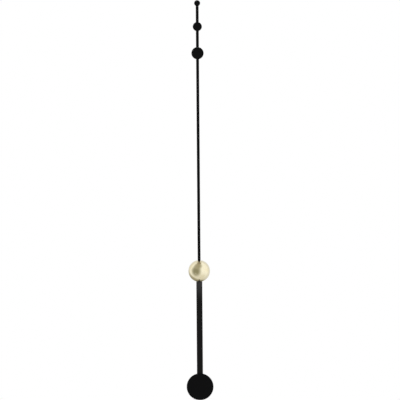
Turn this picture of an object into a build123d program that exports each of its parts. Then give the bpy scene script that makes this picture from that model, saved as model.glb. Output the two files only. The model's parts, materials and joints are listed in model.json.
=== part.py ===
from build123d import *
from math import cos, radians, sin
import os

os.makedirs("parts", exist_ok=True)

# A pendulum wall clock, in millimetres. The hands' axis is the y axis and the wall is the plane y = 0.
# The front faces -y, x is to the right and z is up. A "depth" is a distance out from the wall.

# Driving dimensions: what is seen from the front
hub_radius = 27
hub_wall = 1.2
strip_width = 7.2
minute_reach = 676.5
hour_reach = 0.6 * minute_reach
small_marker_radius = 7.5
marker_radius_step = 3.9
marker_gap = 39.7
bar_width = 15
bar_bottom = -304
bob_radius = 33.5
bob_centre = -290
bob_thickness = 4
pendulum_swing = 5

# Driving dimensions: sheet, screws and fits
sheet = 0.8
fixed_gap = 0.02
running_gap = 0.05

# Depths from the wall, back to front
plate_front = 2
bar_back = 3.4
bar_front = 5.8
cover_back = 9
cover_front = 10.5
board_back = 16.6
cradle_back = 18.6
bridge_back = 23.6
bridge_front = bridge_back + sheet
case_inside = 31
case_front = 32
housing_back = 0.5
housing_front = 36.6
hour_sheet_back = 38
minute_sheet_back = 40.6
minute_sheet_front = minute_sheet_back + sheet
dome_back = 41.8

# The movement case
case_radius = 24.6
case_wall = 1.2
case_bore = case_radius - case_wall
bore_play = 0.4
lower_edge = 4.6

# The hub's nested pipes
minute_arbor_radius = 0.6
minute_pipe_radius = 1.55
hour_pipe_radius = 2.5
bushing_radius = 3.5
bushing_front = 37
hour_pipe_front = 39.4

# Fastening points
plate_screw_points = [(-11, 0), (11, 0)]
stud_points = [(-18, 1), (18, 1)]
board_screw_points = [(-19, 1), (19, 1)]
cover_screw_angles = [90, 225, 315]
cover_screw_circle = 21.6
bridge_screw_angles = [100, 200, 300]
bridge_screw_circle = 22

# The gear train: teeth, modules and the direction of each arbor from the one it drives, in degrees
train_module = 0.3
rotor_module = 0.25
motion_module = 0.35
leaf_count = 8
fourth_teeth = 48
second_teeth = 40
third_teeth = 60
centre_teeth = 64
cannon_teeth = 10
minute_wheel_teeth = 30
hour_wheel_teeth = 32
setting_teeth = 12
third_direction = 20
second_direction = -95
fourth_direction = -130
rotor_direction = 180
setting_direction = 213
arbor_radius = 0.5
wheel_thickness = 0.5


# A sketch plane at a depth, with x to the right and z up, whose normal points out of the wall
def facing(depth):
    return Plane.XZ.offset(depth)


# A point at a distance and direction from another, seen from the front
def step_from(point, distance, direction):
    angle = radians(direction)
    return (point[0] + distance * cos(angle), point[1] + distance * sin(angle))


# The points on a circle about the hub's axis
def circle_points(circle, angles):
    return [step_from((0, 0), circle, angle) for angle in angles]


def centre_distance(teeth, leaves, module):
    return (teeth + leaves) * module / 2


# Teeth are told by heights above the pitch circle, in modules, and widths, in shares of the pitch
wheel_tooth = [(-0.9, 0.58), (0, 0.44), (0.8, 0.22)]
pinion_tooth = [(-1.15, 0.39), (0, 0.4), (0.4, 0.24)]


# The outline of a toothed wheel with one tooth at the phase, in degrees
def tooth_outline(teeth, module, levels, phase):
    pitch_radius = teeth * module / 2
    pitch = 360 / teeth
    outline = []
    for tooth in range(teeth):
        middle = phase + tooth * pitch
        left = [(pitch_radius + height * module, middle - width * pitch / 2) for height, width in levels]
        right = [(radius, 2 * middle - angle) for radius, angle in reversed(left)]
        outline += [step_from((0, 0), radius, angle) for radius, angle in left + right]
    return outline


third_point = step_from((0, 0), centre_distance(centre_teeth, leaf_count, train_module), third_direction)
second_point = step_from(
    third_point, centre_distance(third_teeth, leaf_count, train_module), second_direction
)
fourth_point = step_from(
    second_point, centre_distance(second_teeth, leaf_count, train_module), fourth_direction
)
rotor_point = step_from(
    fourth_point, centre_distance(fourth_teeth, leaf_count, rotor_module), rotor_direction
)
minute_wheel_point = step_from(
    (0, 0), centre_distance(minute_wheel_teeth, cannon_teeth, motion_module), setting_direction
)
setting_point = step_from(
    minute_wheel_point,
    centre_distance(minute_wheel_teeth, setting_teeth, motion_module),
    setting_direction,
)
cover_screw_points = circle_points(cover_screw_circle, cover_screw_angles)
bridge_screw_points = circle_points(bridge_screw_circle, bridge_screw_angles)

# Wall plate: a steel disc with two countersunk screw holes, which stays on the wall
plate_radius = 25
plate_screw_radius = 2.2
plate_sink_radius = 3.4
stud_tail_radius = 1.4

with BuildPart() as wall_plate:
    with BuildSketch(facing(0)):
        Circle(plate_radius)
        with Locations(*stud_points):
            Circle(stud_tail_radius + fixed_gap, mode=Mode.SUBTRACT)
    extrude(amount=plate_front)
    with Locations(facing(plate_front)):
        with Locations(*plate_screw_points):
            CounterSinkHole(plate_screw_radius, plate_sink_radius, counter_sink_angle=90)
wall_plate.part.label = "wall_plate"
export_step(wall_plate.part, "parts/wall_plate.step")

# Wall studs: shouldered and headed studs, riveted in the wall plate, that the back cover's keyholes hang on
stud_tail_back = 0.3
stud_shoulder_radius = 2.4
stud_neck_radius = 1.2
stud_neck_front = 10.7
stud_head_radius = 2.3
stud_head_front = 11.9

with BuildPart() as wall_studs:
    for back, front, radius in [
        (stud_tail_back, plate_front, stud_tail_radius),
        (plate_front, cover_back, stud_shoulder_radius),
        (cover_back, stud_neck_front, stud_neck_radius),
        (stud_neck_front, stud_head_front, stud_head_radius),
    ]:
        with BuildSketch(facing(back)):
            with Locations(*stud_points):
                Circle(radius)
        extrude(amount=front - back)
wall_studs.part.label = "wall_studs"
export_step(wall_studs.part, "parts/wall_studs.step")

# Housing: a turned brass cup behind the dome, with a nut pocket in front and a slot for the pendulum
pocket_radius = 8.5
washer_back = 32.5
rubber_thickness = 0.6
pocket_floor_back = washer_back + rubber_thickness
pocket_floor_front = pocket_floor_back + hub_wall
pendulum_slot_width = 21
pendulum_slot_front = 8
housing_edge = 0.8

with BuildPart() as housing:
    with BuildSketch(Plane.XY):
        with BuildLine():
            Polyline(
                (hub_radius, -housing_back),
                (hub_radius, -housing_front),
                (pocket_radius, -housing_front),
                (pocket_radius, -pocket_floor_front),
                (bushing_radius + fixed_gap, -pocket_floor_front),
                (bushing_radius + fixed_gap, -pocket_floor_back),
                (pocket_radius + hub_wall, -pocket_floor_back),
                (pocket_radius + hub_wall, hub_wall - housing_front),
                (hub_radius - hub_wall, hub_wall - housing_front),
                (hub_radius - hub_wall, -housing_back),
                close=True,
            )
        make_face()
    revolve(axis=Axis.Y)
    rim_edges = housing.edges().filter_by(GeomType.CIRCLE).group_by(Axis.Y)[0].sort_by(SortBy.RADIUS)
    fillet(rim_edges[-1], radius=housing_edge)
    with BuildSketch(facing(housing_back)):
        with Locations((0, -hub_radius)):
            Rectangle(pendulum_slot_width, hub_radius)
    extrude(amount=pendulum_slot_front - housing_back, mode=Mode.SUBTRACT)
housing.part.label = "housing"
export_step(housing.part, "parts/housing.step")

# Back cover: closes the movement case, with keyholes, an open battery bay and the pendulum's pivot boss
keyhole_drop = 5
keyhole_slot_radius = 1.35
keyhole_entry_radius = 2.6
battery_radius = 6
battery_length = 30.2
battery_height = 11.3
battery_depth = 17
bay_play = 0.2
pivot_radius = 0.8
pivot_boss_radius = 3
pivot_boss_back = 8
screw_shank_radius = 0.8
setting_shaft_radius = 0.9

with BuildPart() as back_cover:
    with BuildSketch(facing(cover_back)):
        Circle(case_radius)
        with Locations((0, battery_height)):
            Rectangle(
                battery_length + 2 * bay_play, 2 * (battery_radius + bay_play), mode=Mode.SUBTRACT
            )
        with Locations(*cover_screw_points):
            Circle(screw_shank_radius + running_gap, mode=Mode.SUBTRACT)
        with Locations(setting_point):
            Circle(setting_shaft_radius + running_gap, mode=Mode.SUBTRACT)
        for stud_x, stud_z in stud_points:
            with Locations((stud_x, stud_z)):
                Circle(keyhole_slot_radius, mode=Mode.SUBTRACT)
            with Locations((stud_x, stud_z - keyhole_drop / 2)):
                Rectangle(2 * keyhole_slot_radius, keyhole_drop, mode=Mode.SUBTRACT)
            with Locations((stud_x, stud_z - keyhole_drop)):
                Circle(keyhole_entry_radius, mode=Mode.SUBTRACT)
    extrude(amount=cover_front - cover_back)
    with BuildSketch(facing(pivot_boss_back)):
        Circle(pivot_boss_radius)
    extrude(amount=cover_back - pivot_boss_back)
    with BuildSketch(facing(pivot_boss_back)):
        Circle(pivot_radius + fixed_gap)
    extrude(amount=cover_front - pivot_boss_back, mode=Mode.SUBTRACT)
back_cover.part.label = "back_cover"
export_step(back_cover.part, "parts/back_cover.step")

# Cover screws: three slotted pan heads behind the back cover
cover_screw_head_radius = 1.8
cover_screw_head_back = 7.9
cover_screw_tip = 14
screw_slot_width = 0.5
screw_slot_depth = 0.5

with BuildPart() as cover_screws:
    with BuildSketch(facing(cover_screw_head_back)):
        with Locations(*cover_screw_points):
            Circle(cover_screw_head_radius)
    extrude(amount=cover_back - cover_screw_head_back)
    with BuildSketch(facing(cover_back)):
        with Locations(*cover_screw_points):
            Circle(screw_shank_radius)
    extrude(amount=cover_screw_tip - cover_back)
    with BuildSketch(facing(cover_screw_head_back)):
        with Locations(*cover_screw_points):
            Rectangle(2 * cover_screw_head_radius, screw_slot_width)
    extrude(amount=screw_slot_depth, mode=Mode.SUBTRACT)
cover_screws.part.label = "cover_screws"
export_step(cover_screws.part, "parts/cover_screws.step")

# Movement case: a moulded cup, open at the back, with screw bosses, bridge pillars and bearing holes
boss_radius = 2
boss_front = 15
boss_hole_front = 14.5
pillar_radius = 1.6
pillar_hole_front = 28.5
bearing_depth = 0.6
post_radius = 0.55
post_back = 29.1

with BuildPart() as movement_case:
    with BuildSketch(facing(cover_front)):
        Circle(case_radius)
    extrude(amount=case_front - cover_front)
    with BuildSketch(facing(cover_front)):
        Circle(case_bore)
    extrude(amount=case_inside - cover_front, mode=Mode.SUBTRACT)
    with BuildSketch(facing(cover_front)):
        with Locations(*cover_screw_points):
            Circle(boss_radius)
    extrude(amount=boss_front - cover_front)
    with BuildSketch(facing(bridge_front)):
        with Locations(*bridge_screw_points):
            Circle(pillar_radius)
    extrude(amount=case_inside - bridge_front)
    with BuildSketch(facing(post_back)):
        with Locations(minute_wheel_point):
            Circle(post_radius)
    extrude(amount=case_inside - post_back)
    with BuildSketch(facing(cover_front)):
        with Locations(*cover_screw_points):
            Circle(screw_shank_radius + fixed_gap)
    extrude(amount=boss_hole_front - cover_front, mode=Mode.SUBTRACT)
    with BuildSketch(facing(bridge_front)):
        with Locations(*bridge_screw_points):
            Circle(screw_shank_radius + fixed_gap)
    extrude(amount=pillar_hole_front - bridge_front, mode=Mode.SUBTRACT)
    with BuildSketch(facing(case_inside)):
        with Locations(third_point, second_point, fourth_point, rotor_point, setting_point):
            Circle(arbor_radius + running_gap)
    extrude(amount=bearing_depth, mode=Mode.SUBTRACT)
    with BuildSketch(facing(case_inside)):
        Circle(bushing_radius + fixed_gap)
    extrude(amount=case_front - case_inside, mode=Mode.SUBTRACT)
movement_case.part.label = "movement_case"
export_step(movement_case.part, "parts/movement_case.step")

# Battery: one small cylindrical cell lying across the upper half of the case
battery_nub_radius = 2.4
battery_nub_length = 0.7

with BuildPart() as battery_cell:
    with BuildSketch(Plane.YZ.offset(-battery_length / 2)):
        with Locations((-battery_depth, battery_height)):
            Circle(battery_radius)
    extrude(amount=battery_length - battery_nub_length)
    with BuildSketch(Plane.YZ.offset(battery_length / 2 - battery_nub_length)):
        with Locations((-battery_depth, battery_height)):
            Circle(battery_nub_radius)
    extrude(amount=battery_nub_length)
battery_cell.part.label = "battery_cell"
export_step(battery_cell.part, "parts/battery_cell.step")

# Battery tray: a shallow moulded channel in front of the cell, with two upright ends
tray_bottom = 6.5
tray_top = 13.5
tray_half_length = 18.1
tray_wall = 0.6
tray_floor_back = 23.05
tray_floor_front = 23.5
tray_end_back = 12

with BuildPart() as battery_tray:
    with BuildSketch(Plane.XY.offset(tray_bottom)):
        with Locations((0, -(tray_end_back + tray_floor_front) / 2)):
            Rectangle(2 * tray_half_length, tray_floor_front - tray_end_back)
        with Locations((0, -(tray_end_back + tray_floor_back) / 2)):
            Rectangle(
                2 * (tray_half_length - tray_wall),
                tray_floor_back - tray_end_back,
                mode=Mode.SUBTRACT,
            )
    extrude(amount=tray_top - tray_bottom)
battery_tray.part.label = "battery_tray"
export_step(battery_tray.part, "parts/battery_tray.step")

# Battery contacts: bent spring strips between the cell's ends and the tray's
contact_thickness = 0.3
contact_half_height = 2.5
contact_back = 13
contact_front = 21
contact_leg_x = tray_half_length - tray_wall - contact_thickness
contact_touch_x = battery_length / 2 + contact_thickness
plus_end_x = contact_leg_x - 2 * contact_thickness
plus_end_depth = 20
minus_end_x = contact_leg_x - 3 * contact_thickness
minus_flat_half = 2

with BuildPart() as battery_contact_plus:
    with BuildSketch(Plane.XY.offset(battery_height - contact_half_height)):
        with BuildLine():
            Polyline(
                (contact_leg_x, -contact_front),
                (contact_leg_x, -contact_back),
                (contact_touch_x, -battery_depth),
                (plus_end_x, -plus_end_depth),
            )
        trace(line_width=contact_thickness)
    extrude(amount=2 * contact_half_height)
battery_contact_plus.part.label = "battery_contact_plus"
export_step(battery_contact_plus.part, "parts/battery_contact_plus.step")

with BuildPart() as battery_contact_minus:
    with BuildSketch(Plane.XY.offset(battery_height - contact_half_height)):
        with BuildLine():
            Polyline(
                (-contact_leg_x, -contact_back),
                (-contact_leg_x, -contact_front),
                (-contact_touch_x, -battery_depth - minus_flat_half),
                (-contact_touch_x, -battery_depth + minus_flat_half),
                (-minus_end_x, -contact_back),
            )
        trace(line_width=contact_thickness)
    extrude(amount=2 * contact_half_height)
battery_contact_minus.part.label = "battery_contact_minus"
export_step(battery_contact_minus.part, "parts/battery_contact_minus.step")


# The outline that the circuit board and the motor cradle share: the part of the bore below the battery
def lower_segment():
    Circle(case_bore - bore_play)
    with Locations((0, lower_edge + case_bore / 2)):
        Rectangle(2 * case_bore, case_bore, mode=Mode.SUBTRACT)
    with Locations(setting_point):
        Circle(setting_shaft_radius + bore_play, mode=Mode.SUBTRACT)


# Circuit board, with its chip in front and its crystal behind
board_screw_radius = 0.7
chip_side = 4
chip_point = (12, -8)
crystal_radius = 1
crystal_length = 6
crystal_point = (9, -2)

with BuildPart() as circuit_board:
    with BuildSketch(facing(board_back)):
        lower_segment()
        with Locations(*board_screw_points):
            Circle(board_screw_radius + running_gap, mode=Mode.SUBTRACT)
    extrude(amount=sheet)
circuit_board.part.label = "circuit_board"
export_step(circuit_board.part, "parts/circuit_board.step")

with BuildPart() as control_chip:
    with BuildSketch(facing(board_back + sheet)):
        with Locations(chip_point):
            Rectangle(chip_side, chip_side)
    extrude(amount=sheet)
control_chip.part.label = "control_chip"
export_step(control_chip.part, "parts/control_chip.step")

with BuildPart() as quartz_crystal:
    with BuildSketch(Plane.YZ.offset(crystal_point[0])):
        with Locations((crystal_radius - board_back, crystal_point[1])):
            Circle(crystal_radius)
    extrude(amount=crystal_length)
quartz_crystal.part.label = "quartz_crystal"
export_step(quartz_crystal.part, "parts/quartz_crystal.step")

# Motor cradle: a moulded plate on three legs that carries the motor and, on screws, the circuit board
leg_radius = 1.6
leg_points = [*board_screw_points, (0, -20.8)]

with BuildPart() as motor_cradle:
    with BuildSketch(facing(cradle_back)):
        lower_segment()
        with Locations(rotor_point):
            Circle(arbor_radius + running_gap, mode=Mode.SUBTRACT)
    extrude(amount=sheet)
    with BuildSketch(facing(board_back + sheet)):
        with Locations(*leg_points):
            Circle(leg_radius)
    extrude(amount=bridge_back - board_back - sheet)
    with BuildSketch(facing(board_back + sheet)):
        with Locations(*board_screw_points):
            Circle(board_screw_radius + fixed_gap)
    extrude(amount=bridge_back - cradle_back, mode=Mode.SUBTRACT)
motor_cradle.part.label = "motor_cradle"
export_step(motor_cradle.part, "parts/motor_cradle.step")

board_screw_head_radius = 1.5
board_screw_head_back = 15.7
board_screw_tip = 21

with BuildPart() as board_screws:
    with BuildSketch(facing(board_screw_head_back)):
        with Locations(*board_screw_points):
            Circle(board_screw_head_radius)
    extrude(amount=board_back - board_screw_head_back)
    with BuildSketch(facing(board_back)):
        with Locations(*board_screw_points):
            Circle(board_screw_radius)
    extrude(amount=board_screw_tip - board_back)
board_screws.part.label = "board_screws"
export_step(board_screws.part, "parts/board_screws.step")

# Motor stator: a soft iron frame with a hole for the rotor and, below its window, the coil's core
stator_back = 20.9
stator_hole_radius = 2.5
stator_half_width = 10
stator_top = -9
stator_bottom = -17.7
window_top = -14.9
core_height = 1.4
window_half_width = 8

with BuildPart() as stator_plate:
    with BuildSketch(facing(stator_back)):
        with Locations((0, (stator_top + stator_bottom) / 2)):
            Rectangle(2 * stator_half_width, stator_top - stator_bottom)
        with Locations((0, (window_top + stator_bottom + core_height) / 2)):
            Rectangle(
                2 * window_half_width, window_top - stator_bottom - core_height, mode=Mode.SUBTRACT
            )
        with Locations(rotor_point):
            Circle(stator_hole_radius, mode=Mode.SUBTRACT)
    extrude(amount=sheet)
stator_plate.part.label = "stator_plate"
export_step(stator_plate.part, "parts/stator_plate.step")

# Motor coil: a small bobbin on the core, and its winding
core_middle = stator_bottom + core_height / 2
core_depth = stator_back + sheet / 2
bobbin_wall = 0.3
bobbin_half_length = 7.5
bobbin_flange_size = 2.5
winding_size = 2.4
winding_half_length = bobbin_half_length - bobbin_wall

with BuildPart() as motor_bobbin:
    with BuildSketch(Plane.YZ.offset(-bobbin_half_length)):
        with Locations((-core_depth, core_middle)):
            Rectangle(bobbin_flange_size, bobbin_flange_size)
    extrude(amount=2 * bobbin_half_length)
    with BuildSketch(Plane.YZ.offset(-winding_half_length)):
        with Locations((-core_depth, core_middle)):
            Rectangle(bobbin_flange_size, bobbin_flange_size)
            Rectangle(
                sheet + 2 * bobbin_wall, core_height + 2 * bobbin_wall, mode=Mode.SUBTRACT
            )
    extrude(amount=2 * winding_half_length, mode=Mode.SUBTRACT)
    with BuildSketch(Plane.YZ.offset(-bobbin_half_length)):
        with Locations((-core_depth, core_middle)):
            Rectangle(sheet + 2 * fixed_gap, core_height + 2 * fixed_gap)
    extrude(amount=2 * bobbin_half_length, mode=Mode.SUBTRACT)
motor_bobbin.part.label = "motor_bobbin"
export_step(motor_bobbin.part, "parts/motor_bobbin.step")

with BuildPart() as motor_winding:
    with BuildSketch(Plane.YZ.offset(-winding_half_length)):
        with Locations((-core_depth, core_middle)):
            Rectangle(winding_size, winding_size)
            Rectangle(
                sheet + 2 * bobbin_wall, core_height + 2 * bobbin_wall, mode=Mode.SUBTRACT
            )
    extrude(amount=2 * winding_half_length)
motor_winding.part.label = "motor_winding"
export_step(motor_winding.part, "parts/motor_winding.step")

# Pendulum drive coil: a bobbin and winding behind the circuit board, facing the pendulum's magnet
magnet_height = -13.5
coil_back = 11
coil_flange_radius = 6.5
coil_core_radius = 2
coil_flange = 0.6
coil_winding_radius = 6

with BuildPart() as drive_bobbin:
    with BuildSketch(facing(coil_back)):
        with Locations((0, magnet_height)):
            Circle(coil_flange_radius)
    extrude(amount=board_back - coil_back)
    with BuildSketch(facing(coil_back + coil_flange)):
        with Locations((0, magnet_height)):
            Circle(coil_flange_radius)
            Circle(coil_core_radius, mode=Mode.SUBTRACT)
    extrude(amount=board_back - coil_back - 2 * coil_flange, mode=Mode.SUBTRACT)
drive_bobbin.part.label = "drive_bobbin"
export_step(drive_bobbin.part, "parts/drive_bobbin.step")

with BuildPart() as drive_winding:
    with BuildSketch(facing(coil_back + coil_flange)):
        with Locations((0, magnet_height)):
            Circle(coil_winding_radius)
            Circle(coil_core_radius, mode=Mode.SUBTRACT)
    extrude(amount=board_back - coil_back - 2 * coil_flange)
drive_winding.part.label = "drive_winding"
export_step(drive_winding.part, "parts/drive_winding.step")

# Train bridge: the plate that holds the arbors' back ends, screwed to the case's pillars
rotor_pass_radius = 1.5

with BuildPart() as train_bridge:
    with BuildSketch(facing(bridge_back)):
        Circle(case_bore - bore_play)
        with Locations(*bridge_screw_points):
            Circle(screw_shank_radius + running_gap, mode=Mode.SUBTRACT)
        with Locations(third_point, second_point, fourth_point):
            Circle(arbor_radius + running_gap, mode=Mode.SUBTRACT)
        Circle(minute_arbor_radius + running_gap, mode=Mode.SUBTRACT)
        with Locations(rotor_point):
            Circle(rotor_pass_radius, mode=Mode.SUBTRACT)
        with Locations(setting_point):
            Circle(setting_shaft_radius + bore_play, mode=Mode.SUBTRACT)
    extrude(amount=sheet)
train_bridge.part.label = "train_bridge"
export_step(train_bridge.part, "parts/train_bridge.step")

bridge_screw_head_radius = 1.4
bridge_screw_head_back = 22.7
bridge_screw_tip = 28

with BuildPart() as bridge_screws:
    with BuildSketch(facing(bridge_screw_head_back)):
        with Locations(*bridge_screw_points):
            Circle(bridge_screw_head_radius)
    extrude(amount=bridge_back - bridge_screw_head_back)
    with BuildSketch(facing(bridge_back)):
        with Locations(*bridge_screw_points):
            Circle(screw_shank_radius)
    extrude(amount=bridge_screw_tip - bridge_back)
bridge_screws.part.label = "bridge_screws"
export_step(bridge_screws.part, "parts/bridge_screws.step")

# Threaded bushing: fixed in the case's front, it carries the housing and the hour pipe turns in it
flange_radius = 6

with BuildPart() as threaded_bushing:
    with BuildSketch(facing(case_inside)):
        Circle(bushing_radius)
    extrude(amount=bushing_front - case_inside)
    with BuildSketch(facing(case_front)):
        Circle(flange_radius)
    extrude(amount=washer_back - case_front)
    with BuildSketch(facing(case_inside)):
        Circle(hour_pipe_radius + running_gap)
    extrude(amount=bushing_front - case_inside, mode=Mode.SUBTRACT)
threaded_bushing.part.label = "threaded_bushing"
export_step(threaded_bushing.part, "parts/threaded_bushing.step")

# Rubber washer, brass washer and hex nut, which clamp the housing on the bushing
rubber_radius = 8
washer_radius = 6.8
washer_thickness = 0.4
nut_thickness = 1.8
nut_flat = 5.5
nut_back = pocket_floor_front + washer_thickness

with BuildPart() as rubber_washer:
    with BuildSketch(facing(washer_back)):
        Circle(rubber_radius)
        Circle(bushing_radius + fixed_gap, mode=Mode.SUBTRACT)
    extrude(amount=rubber_thickness)
rubber_washer.part.label = "rubber_washer"
export_step(rubber_washer.part, "parts/rubber_washer.step")

with BuildPart() as brass_washer:
    with BuildSketch(facing(pocket_floor_front)):
        Circle(washer_radius)
        Circle(bushing_radius + fixed_gap, mode=Mode.SUBTRACT)
    extrude(amount=washer_thickness)
brass_washer.part.label = "brass_washer"
export_step(brass_washer.part, "parts/brass_washer.step")

with BuildPart() as hex_nut:
    with BuildSketch(facing(nut_back)):
        RegularPolygon(nut_flat, 6, major_radius=False)
        Circle(bushing_radius + fixed_gap, mode=Mode.SUBTRACT)
    extrude(amount=nut_thickness)
hex_nut.part.label = "hex_nut"
export_step(hex_nut.part, "parts/hex_nut.step")

# Rotor: a round magnet and its pinion on one arbor
magnet_back = 20.2
magnet_front = 22.8
rotor_magnet_radius = 2.2
rotor_arbor_back = 18.7
rotor_leaf_back = 24.6
rotor_leaf_front = 25.5
arbor_back = 23.7
arbor_front = 31.5

with BuildPart() as rotor_magnet:
    with BuildSketch(facing(magnet_back)):
        with Locations(rotor_point):
            Circle(rotor_magnet_radius)
            Circle(arbor_radius + fixed_gap, mode=Mode.SUBTRACT)
    extrude(amount=magnet_front - magnet_back)
rotor_magnet.part.label = "rotor_magnet"
export_step(rotor_magnet.part, "parts/rotor_magnet.step")

with BuildPart() as rotor_pinion:
    with BuildSketch(facing(rotor_arbor_back)):
        with Locations(rotor_point):
            Circle(arbor_radius)
    extrude(amount=arbor_front - rotor_arbor_back)
    with BuildSketch(facing(rotor_leaf_back)):
        with Locations(rotor_point):
            Polygon(
                *tooth_outline(leaf_count, rotor_module, pinion_tooth, rotor_direction + 180),
                align=None,
            )
    extrude(amount=rotor_leaf_front - rotor_leaf_back)
rotor_pinion.part.label = "rotor_pinion"
export_step(rotor_pinion.part, "parts/rotor_pinion.step")

# Fourth wheel, driven by the rotor
fourth_back = 24.8
fourth_leaf_front = 26.7

with BuildPart() as fourth_wheel:
    with BuildSketch(facing(arbor_back)):
        with Locations(fourth_point):
            Circle(arbor_radius)
    extrude(amount=arbor_front - arbor_back)
    with BuildSketch(facing(fourth_back)):
        with Locations(fourth_point):
            Polygon(
                *tooth_outline(
                    fourth_teeth, rotor_module, wheel_tooth, rotor_direction + 180 / fourth_teeth
                ),
                align=None,
            )
    extrude(amount=wheel_thickness)
    with BuildSketch(facing(fourth_back + wheel_thickness)):
        with Locations(fourth_point):
            Polygon(
                *tooth_outline(leaf_count, train_module, pinion_tooth, fourth_direction + 180),
                align=None,
            )
    extrude(amount=fourth_leaf_front - fourth_back - wheel_thickness)
fourth_wheel.part.label = "fourth_wheel"
export_step(fourth_wheel.part, "parts/fourth_wheel.step")

# Second wheel
second_back = 26
second_leaf_front = 27.9

with BuildPart() as second_wheel:
    with BuildSketch(facing(arbor_back)):
        with Locations(second_point):
            Circle(arbor_radius)
    extrude(amount=arbor_front - arbor_back)
    with BuildSketch(facing(second_back)):
        with Locations(second_point):
            Polygon(
                *tooth_outline(
                    second_teeth, train_module, wheel_tooth, fourth_direction + 180 / second_teeth
                ),
                align=None,
            )
    extrude(amount=wheel_thickness)
    with BuildSketch(facing(second_back + wheel_thickness)):
        with Locations(second_point):
            Polygon(
                *tooth_outline(leaf_count, train_module, pinion_tooth, second_direction + 180),
                align=None,
            )
    extrude(amount=second_leaf_front - second_back - wheel_thickness)
second_wheel.part.label = "second_wheel"
export_step(second_wheel.part, "parts/second_wheel.step")

# Third wheel, lightened by round holes
third_back = 27.2
third_leaf_front = 29
lightening_count = 5
lightening_circle = 5
lightening_radius = 2

with BuildPart() as third_wheel:
    with BuildSketch(facing(arbor_back)):
        with Locations(third_point):
            Circle(arbor_radius)
    extrude(amount=arbor_front - arbor_back)
    with BuildSketch(facing(third_back)):
        with Locations(third_point):
            Polygon(
                *tooth_outline(
                    third_teeth, train_module, wheel_tooth, second_direction + 180 / third_teeth
                ),
                align=None,
            )
            with PolarLocations(lightening_circle, lightening_count):
                Circle(lightening_radius, mode=Mode.SUBTRACT)
    extrude(amount=wheel_thickness)
    with BuildSketch(facing(third_back + wheel_thickness)):
        with Locations(third_point):
            Polygon(
                *tooth_outline(leaf_count, train_module, pinion_tooth, third_direction + 180),
                align=None,
            )
    extrude(amount=third_leaf_front - third_back - wheel_thickness)
third_wheel.part.label = "third_wheel"
export_step(third_wheel.part, "parts/third_wheel.step")

# Centre wheel on the minute arbor, which turns once an hour
centre_back = 28.4
minute_arbor_front = 36

with BuildPart() as centre_wheel:
    with BuildSketch(facing(arbor_back)):
        Circle(minute_arbor_radius)
    extrude(amount=minute_arbor_front - arbor_back)
    with BuildSketch(facing(centre_back)):
        Polygon(
            *tooth_outline(
                centre_teeth, train_module, wheel_tooth, third_direction + 180 / centre_teeth
            ),
            align=None,
        )
        with PolarLocations(lightening_circle, lightening_count):
            Circle(lightening_radius, mode=Mode.SUBTRACT)
    extrude(amount=wheel_thickness)
centre_wheel.part.label = "centre_wheel"
export_step(centre_wheel.part, "parts/centre_wheel.step")

# Clutch spring: a thin washer that lets the hands be set while the centre wheel stands
clutch_radius = 2
clutch_thickness = 0.25

with BuildPart() as clutch_spring:
    with BuildSketch(facing(centre_back + wheel_thickness)):
        Circle(clutch_radius)
        Circle(minute_arbor_radius + fixed_gap, mode=Mode.SUBTRACT)
    extrude(amount=clutch_thickness)
clutch_spring.part.label = "clutch_spring"
export_step(clutch_spring.part, "parts/clutch_spring.step")

# Minute pipe: the cannon pinion and the spindle that carries the minute hand and the dome
cannon_back = 29.2
cannon_front = 29.95
minute_bore_front = 37
minute_pipe_front = 50

with BuildPart() as minute_pipe:
    with BuildSketch(facing(cannon_back)):
        Polygon(
            *tooth_outline(cannon_teeth, motion_module, pinion_tooth, setting_direction), align=None
        )
    extrude(amount=cannon_front - cannon_back)
    with BuildSketch(facing(cannon_front)):
        Circle(minute_pipe_radius)
    extrude(amount=minute_pipe_front - cannon_front)
    with BuildSketch(facing(cannon_back)):
        Circle(minute_arbor_radius + running_gap)
    extrude(amount=minute_bore_front - cannon_back, mode=Mode.SUBTRACT)
minute_pipe.part.label = "minute_pipe"
export_step(minute_pipe.part, "parts/minute_pipe.step")

# Minute wheel, on the case's post: it gears the minute pipe down to the hour wheel
minute_wheel_back = 29.3
minute_leaf_front = 30.8

with BuildPart() as minute_wheel:
    with BuildSketch(facing(minute_wheel_back)):
        with Locations(minute_wheel_point):
            Polygon(
                *tooth_outline(
                    minute_wheel_teeth,
                    motion_module,
                    wheel_tooth,
                    setting_direction + 180 + 180 / minute_wheel_teeth,
                ),
                align=None,
            )
            Circle(post_radius + running_gap, mode=Mode.SUBTRACT)
    extrude(amount=wheel_thickness)
    with BuildSketch(facing(minute_wheel_back + wheel_thickness)):
        with Locations(minute_wheel_point):
            Polygon(
                *tooth_outline(leaf_count, motion_module, pinion_tooth, setting_direction + 180),
                align=None,
            )
            Circle(post_radius + running_gap, mode=Mode.SUBTRACT)
    extrude(amount=minute_leaf_front - minute_wheel_back - wheel_thickness)
minute_wheel.part.label = "minute_wheel"
export_step(minute_wheel.part, "parts/minute_wheel.step")

# Hour wheel and its pipe
hour_wheel_back = 30.1

with BuildPart() as hour_wheel:
    with BuildSketch(facing(hour_wheel_back)):
        Polygon(
            *tooth_outline(
                hour_wheel_teeth,
                motion_module,
                wheel_tooth,
                setting_direction + 180 / hour_wheel_teeth,
            ),
            align=None,
        )
    extrude(amount=wheel_thickness)
    with BuildSketch(facing(hour_wheel_back)):
        Circle(hour_pipe_radius)
    extrude(amount=hour_pipe_front - hour_wheel_back)
    with BuildSketch(facing(hour_wheel_back)):
        Circle(minute_pipe_radius + running_gap)
    extrude(amount=hour_pipe_front - hour_wheel_back, mode=Mode.SUBTRACT)
hour_wheel.part.label = "hour_wheel"
export_step(hour_wheel.part, "parts/hour_wheel.step")

# Setting shaft and its knob, behind the back cover
setting_back = 7.2
setting_leaf_back = 29.1
setting_leaf_front = 29.9
setting_pivot_back = 30
knob_front = 8.9
knob_radius = 3.4
knob_flutes = 12
flute_radius = 0.35

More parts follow.
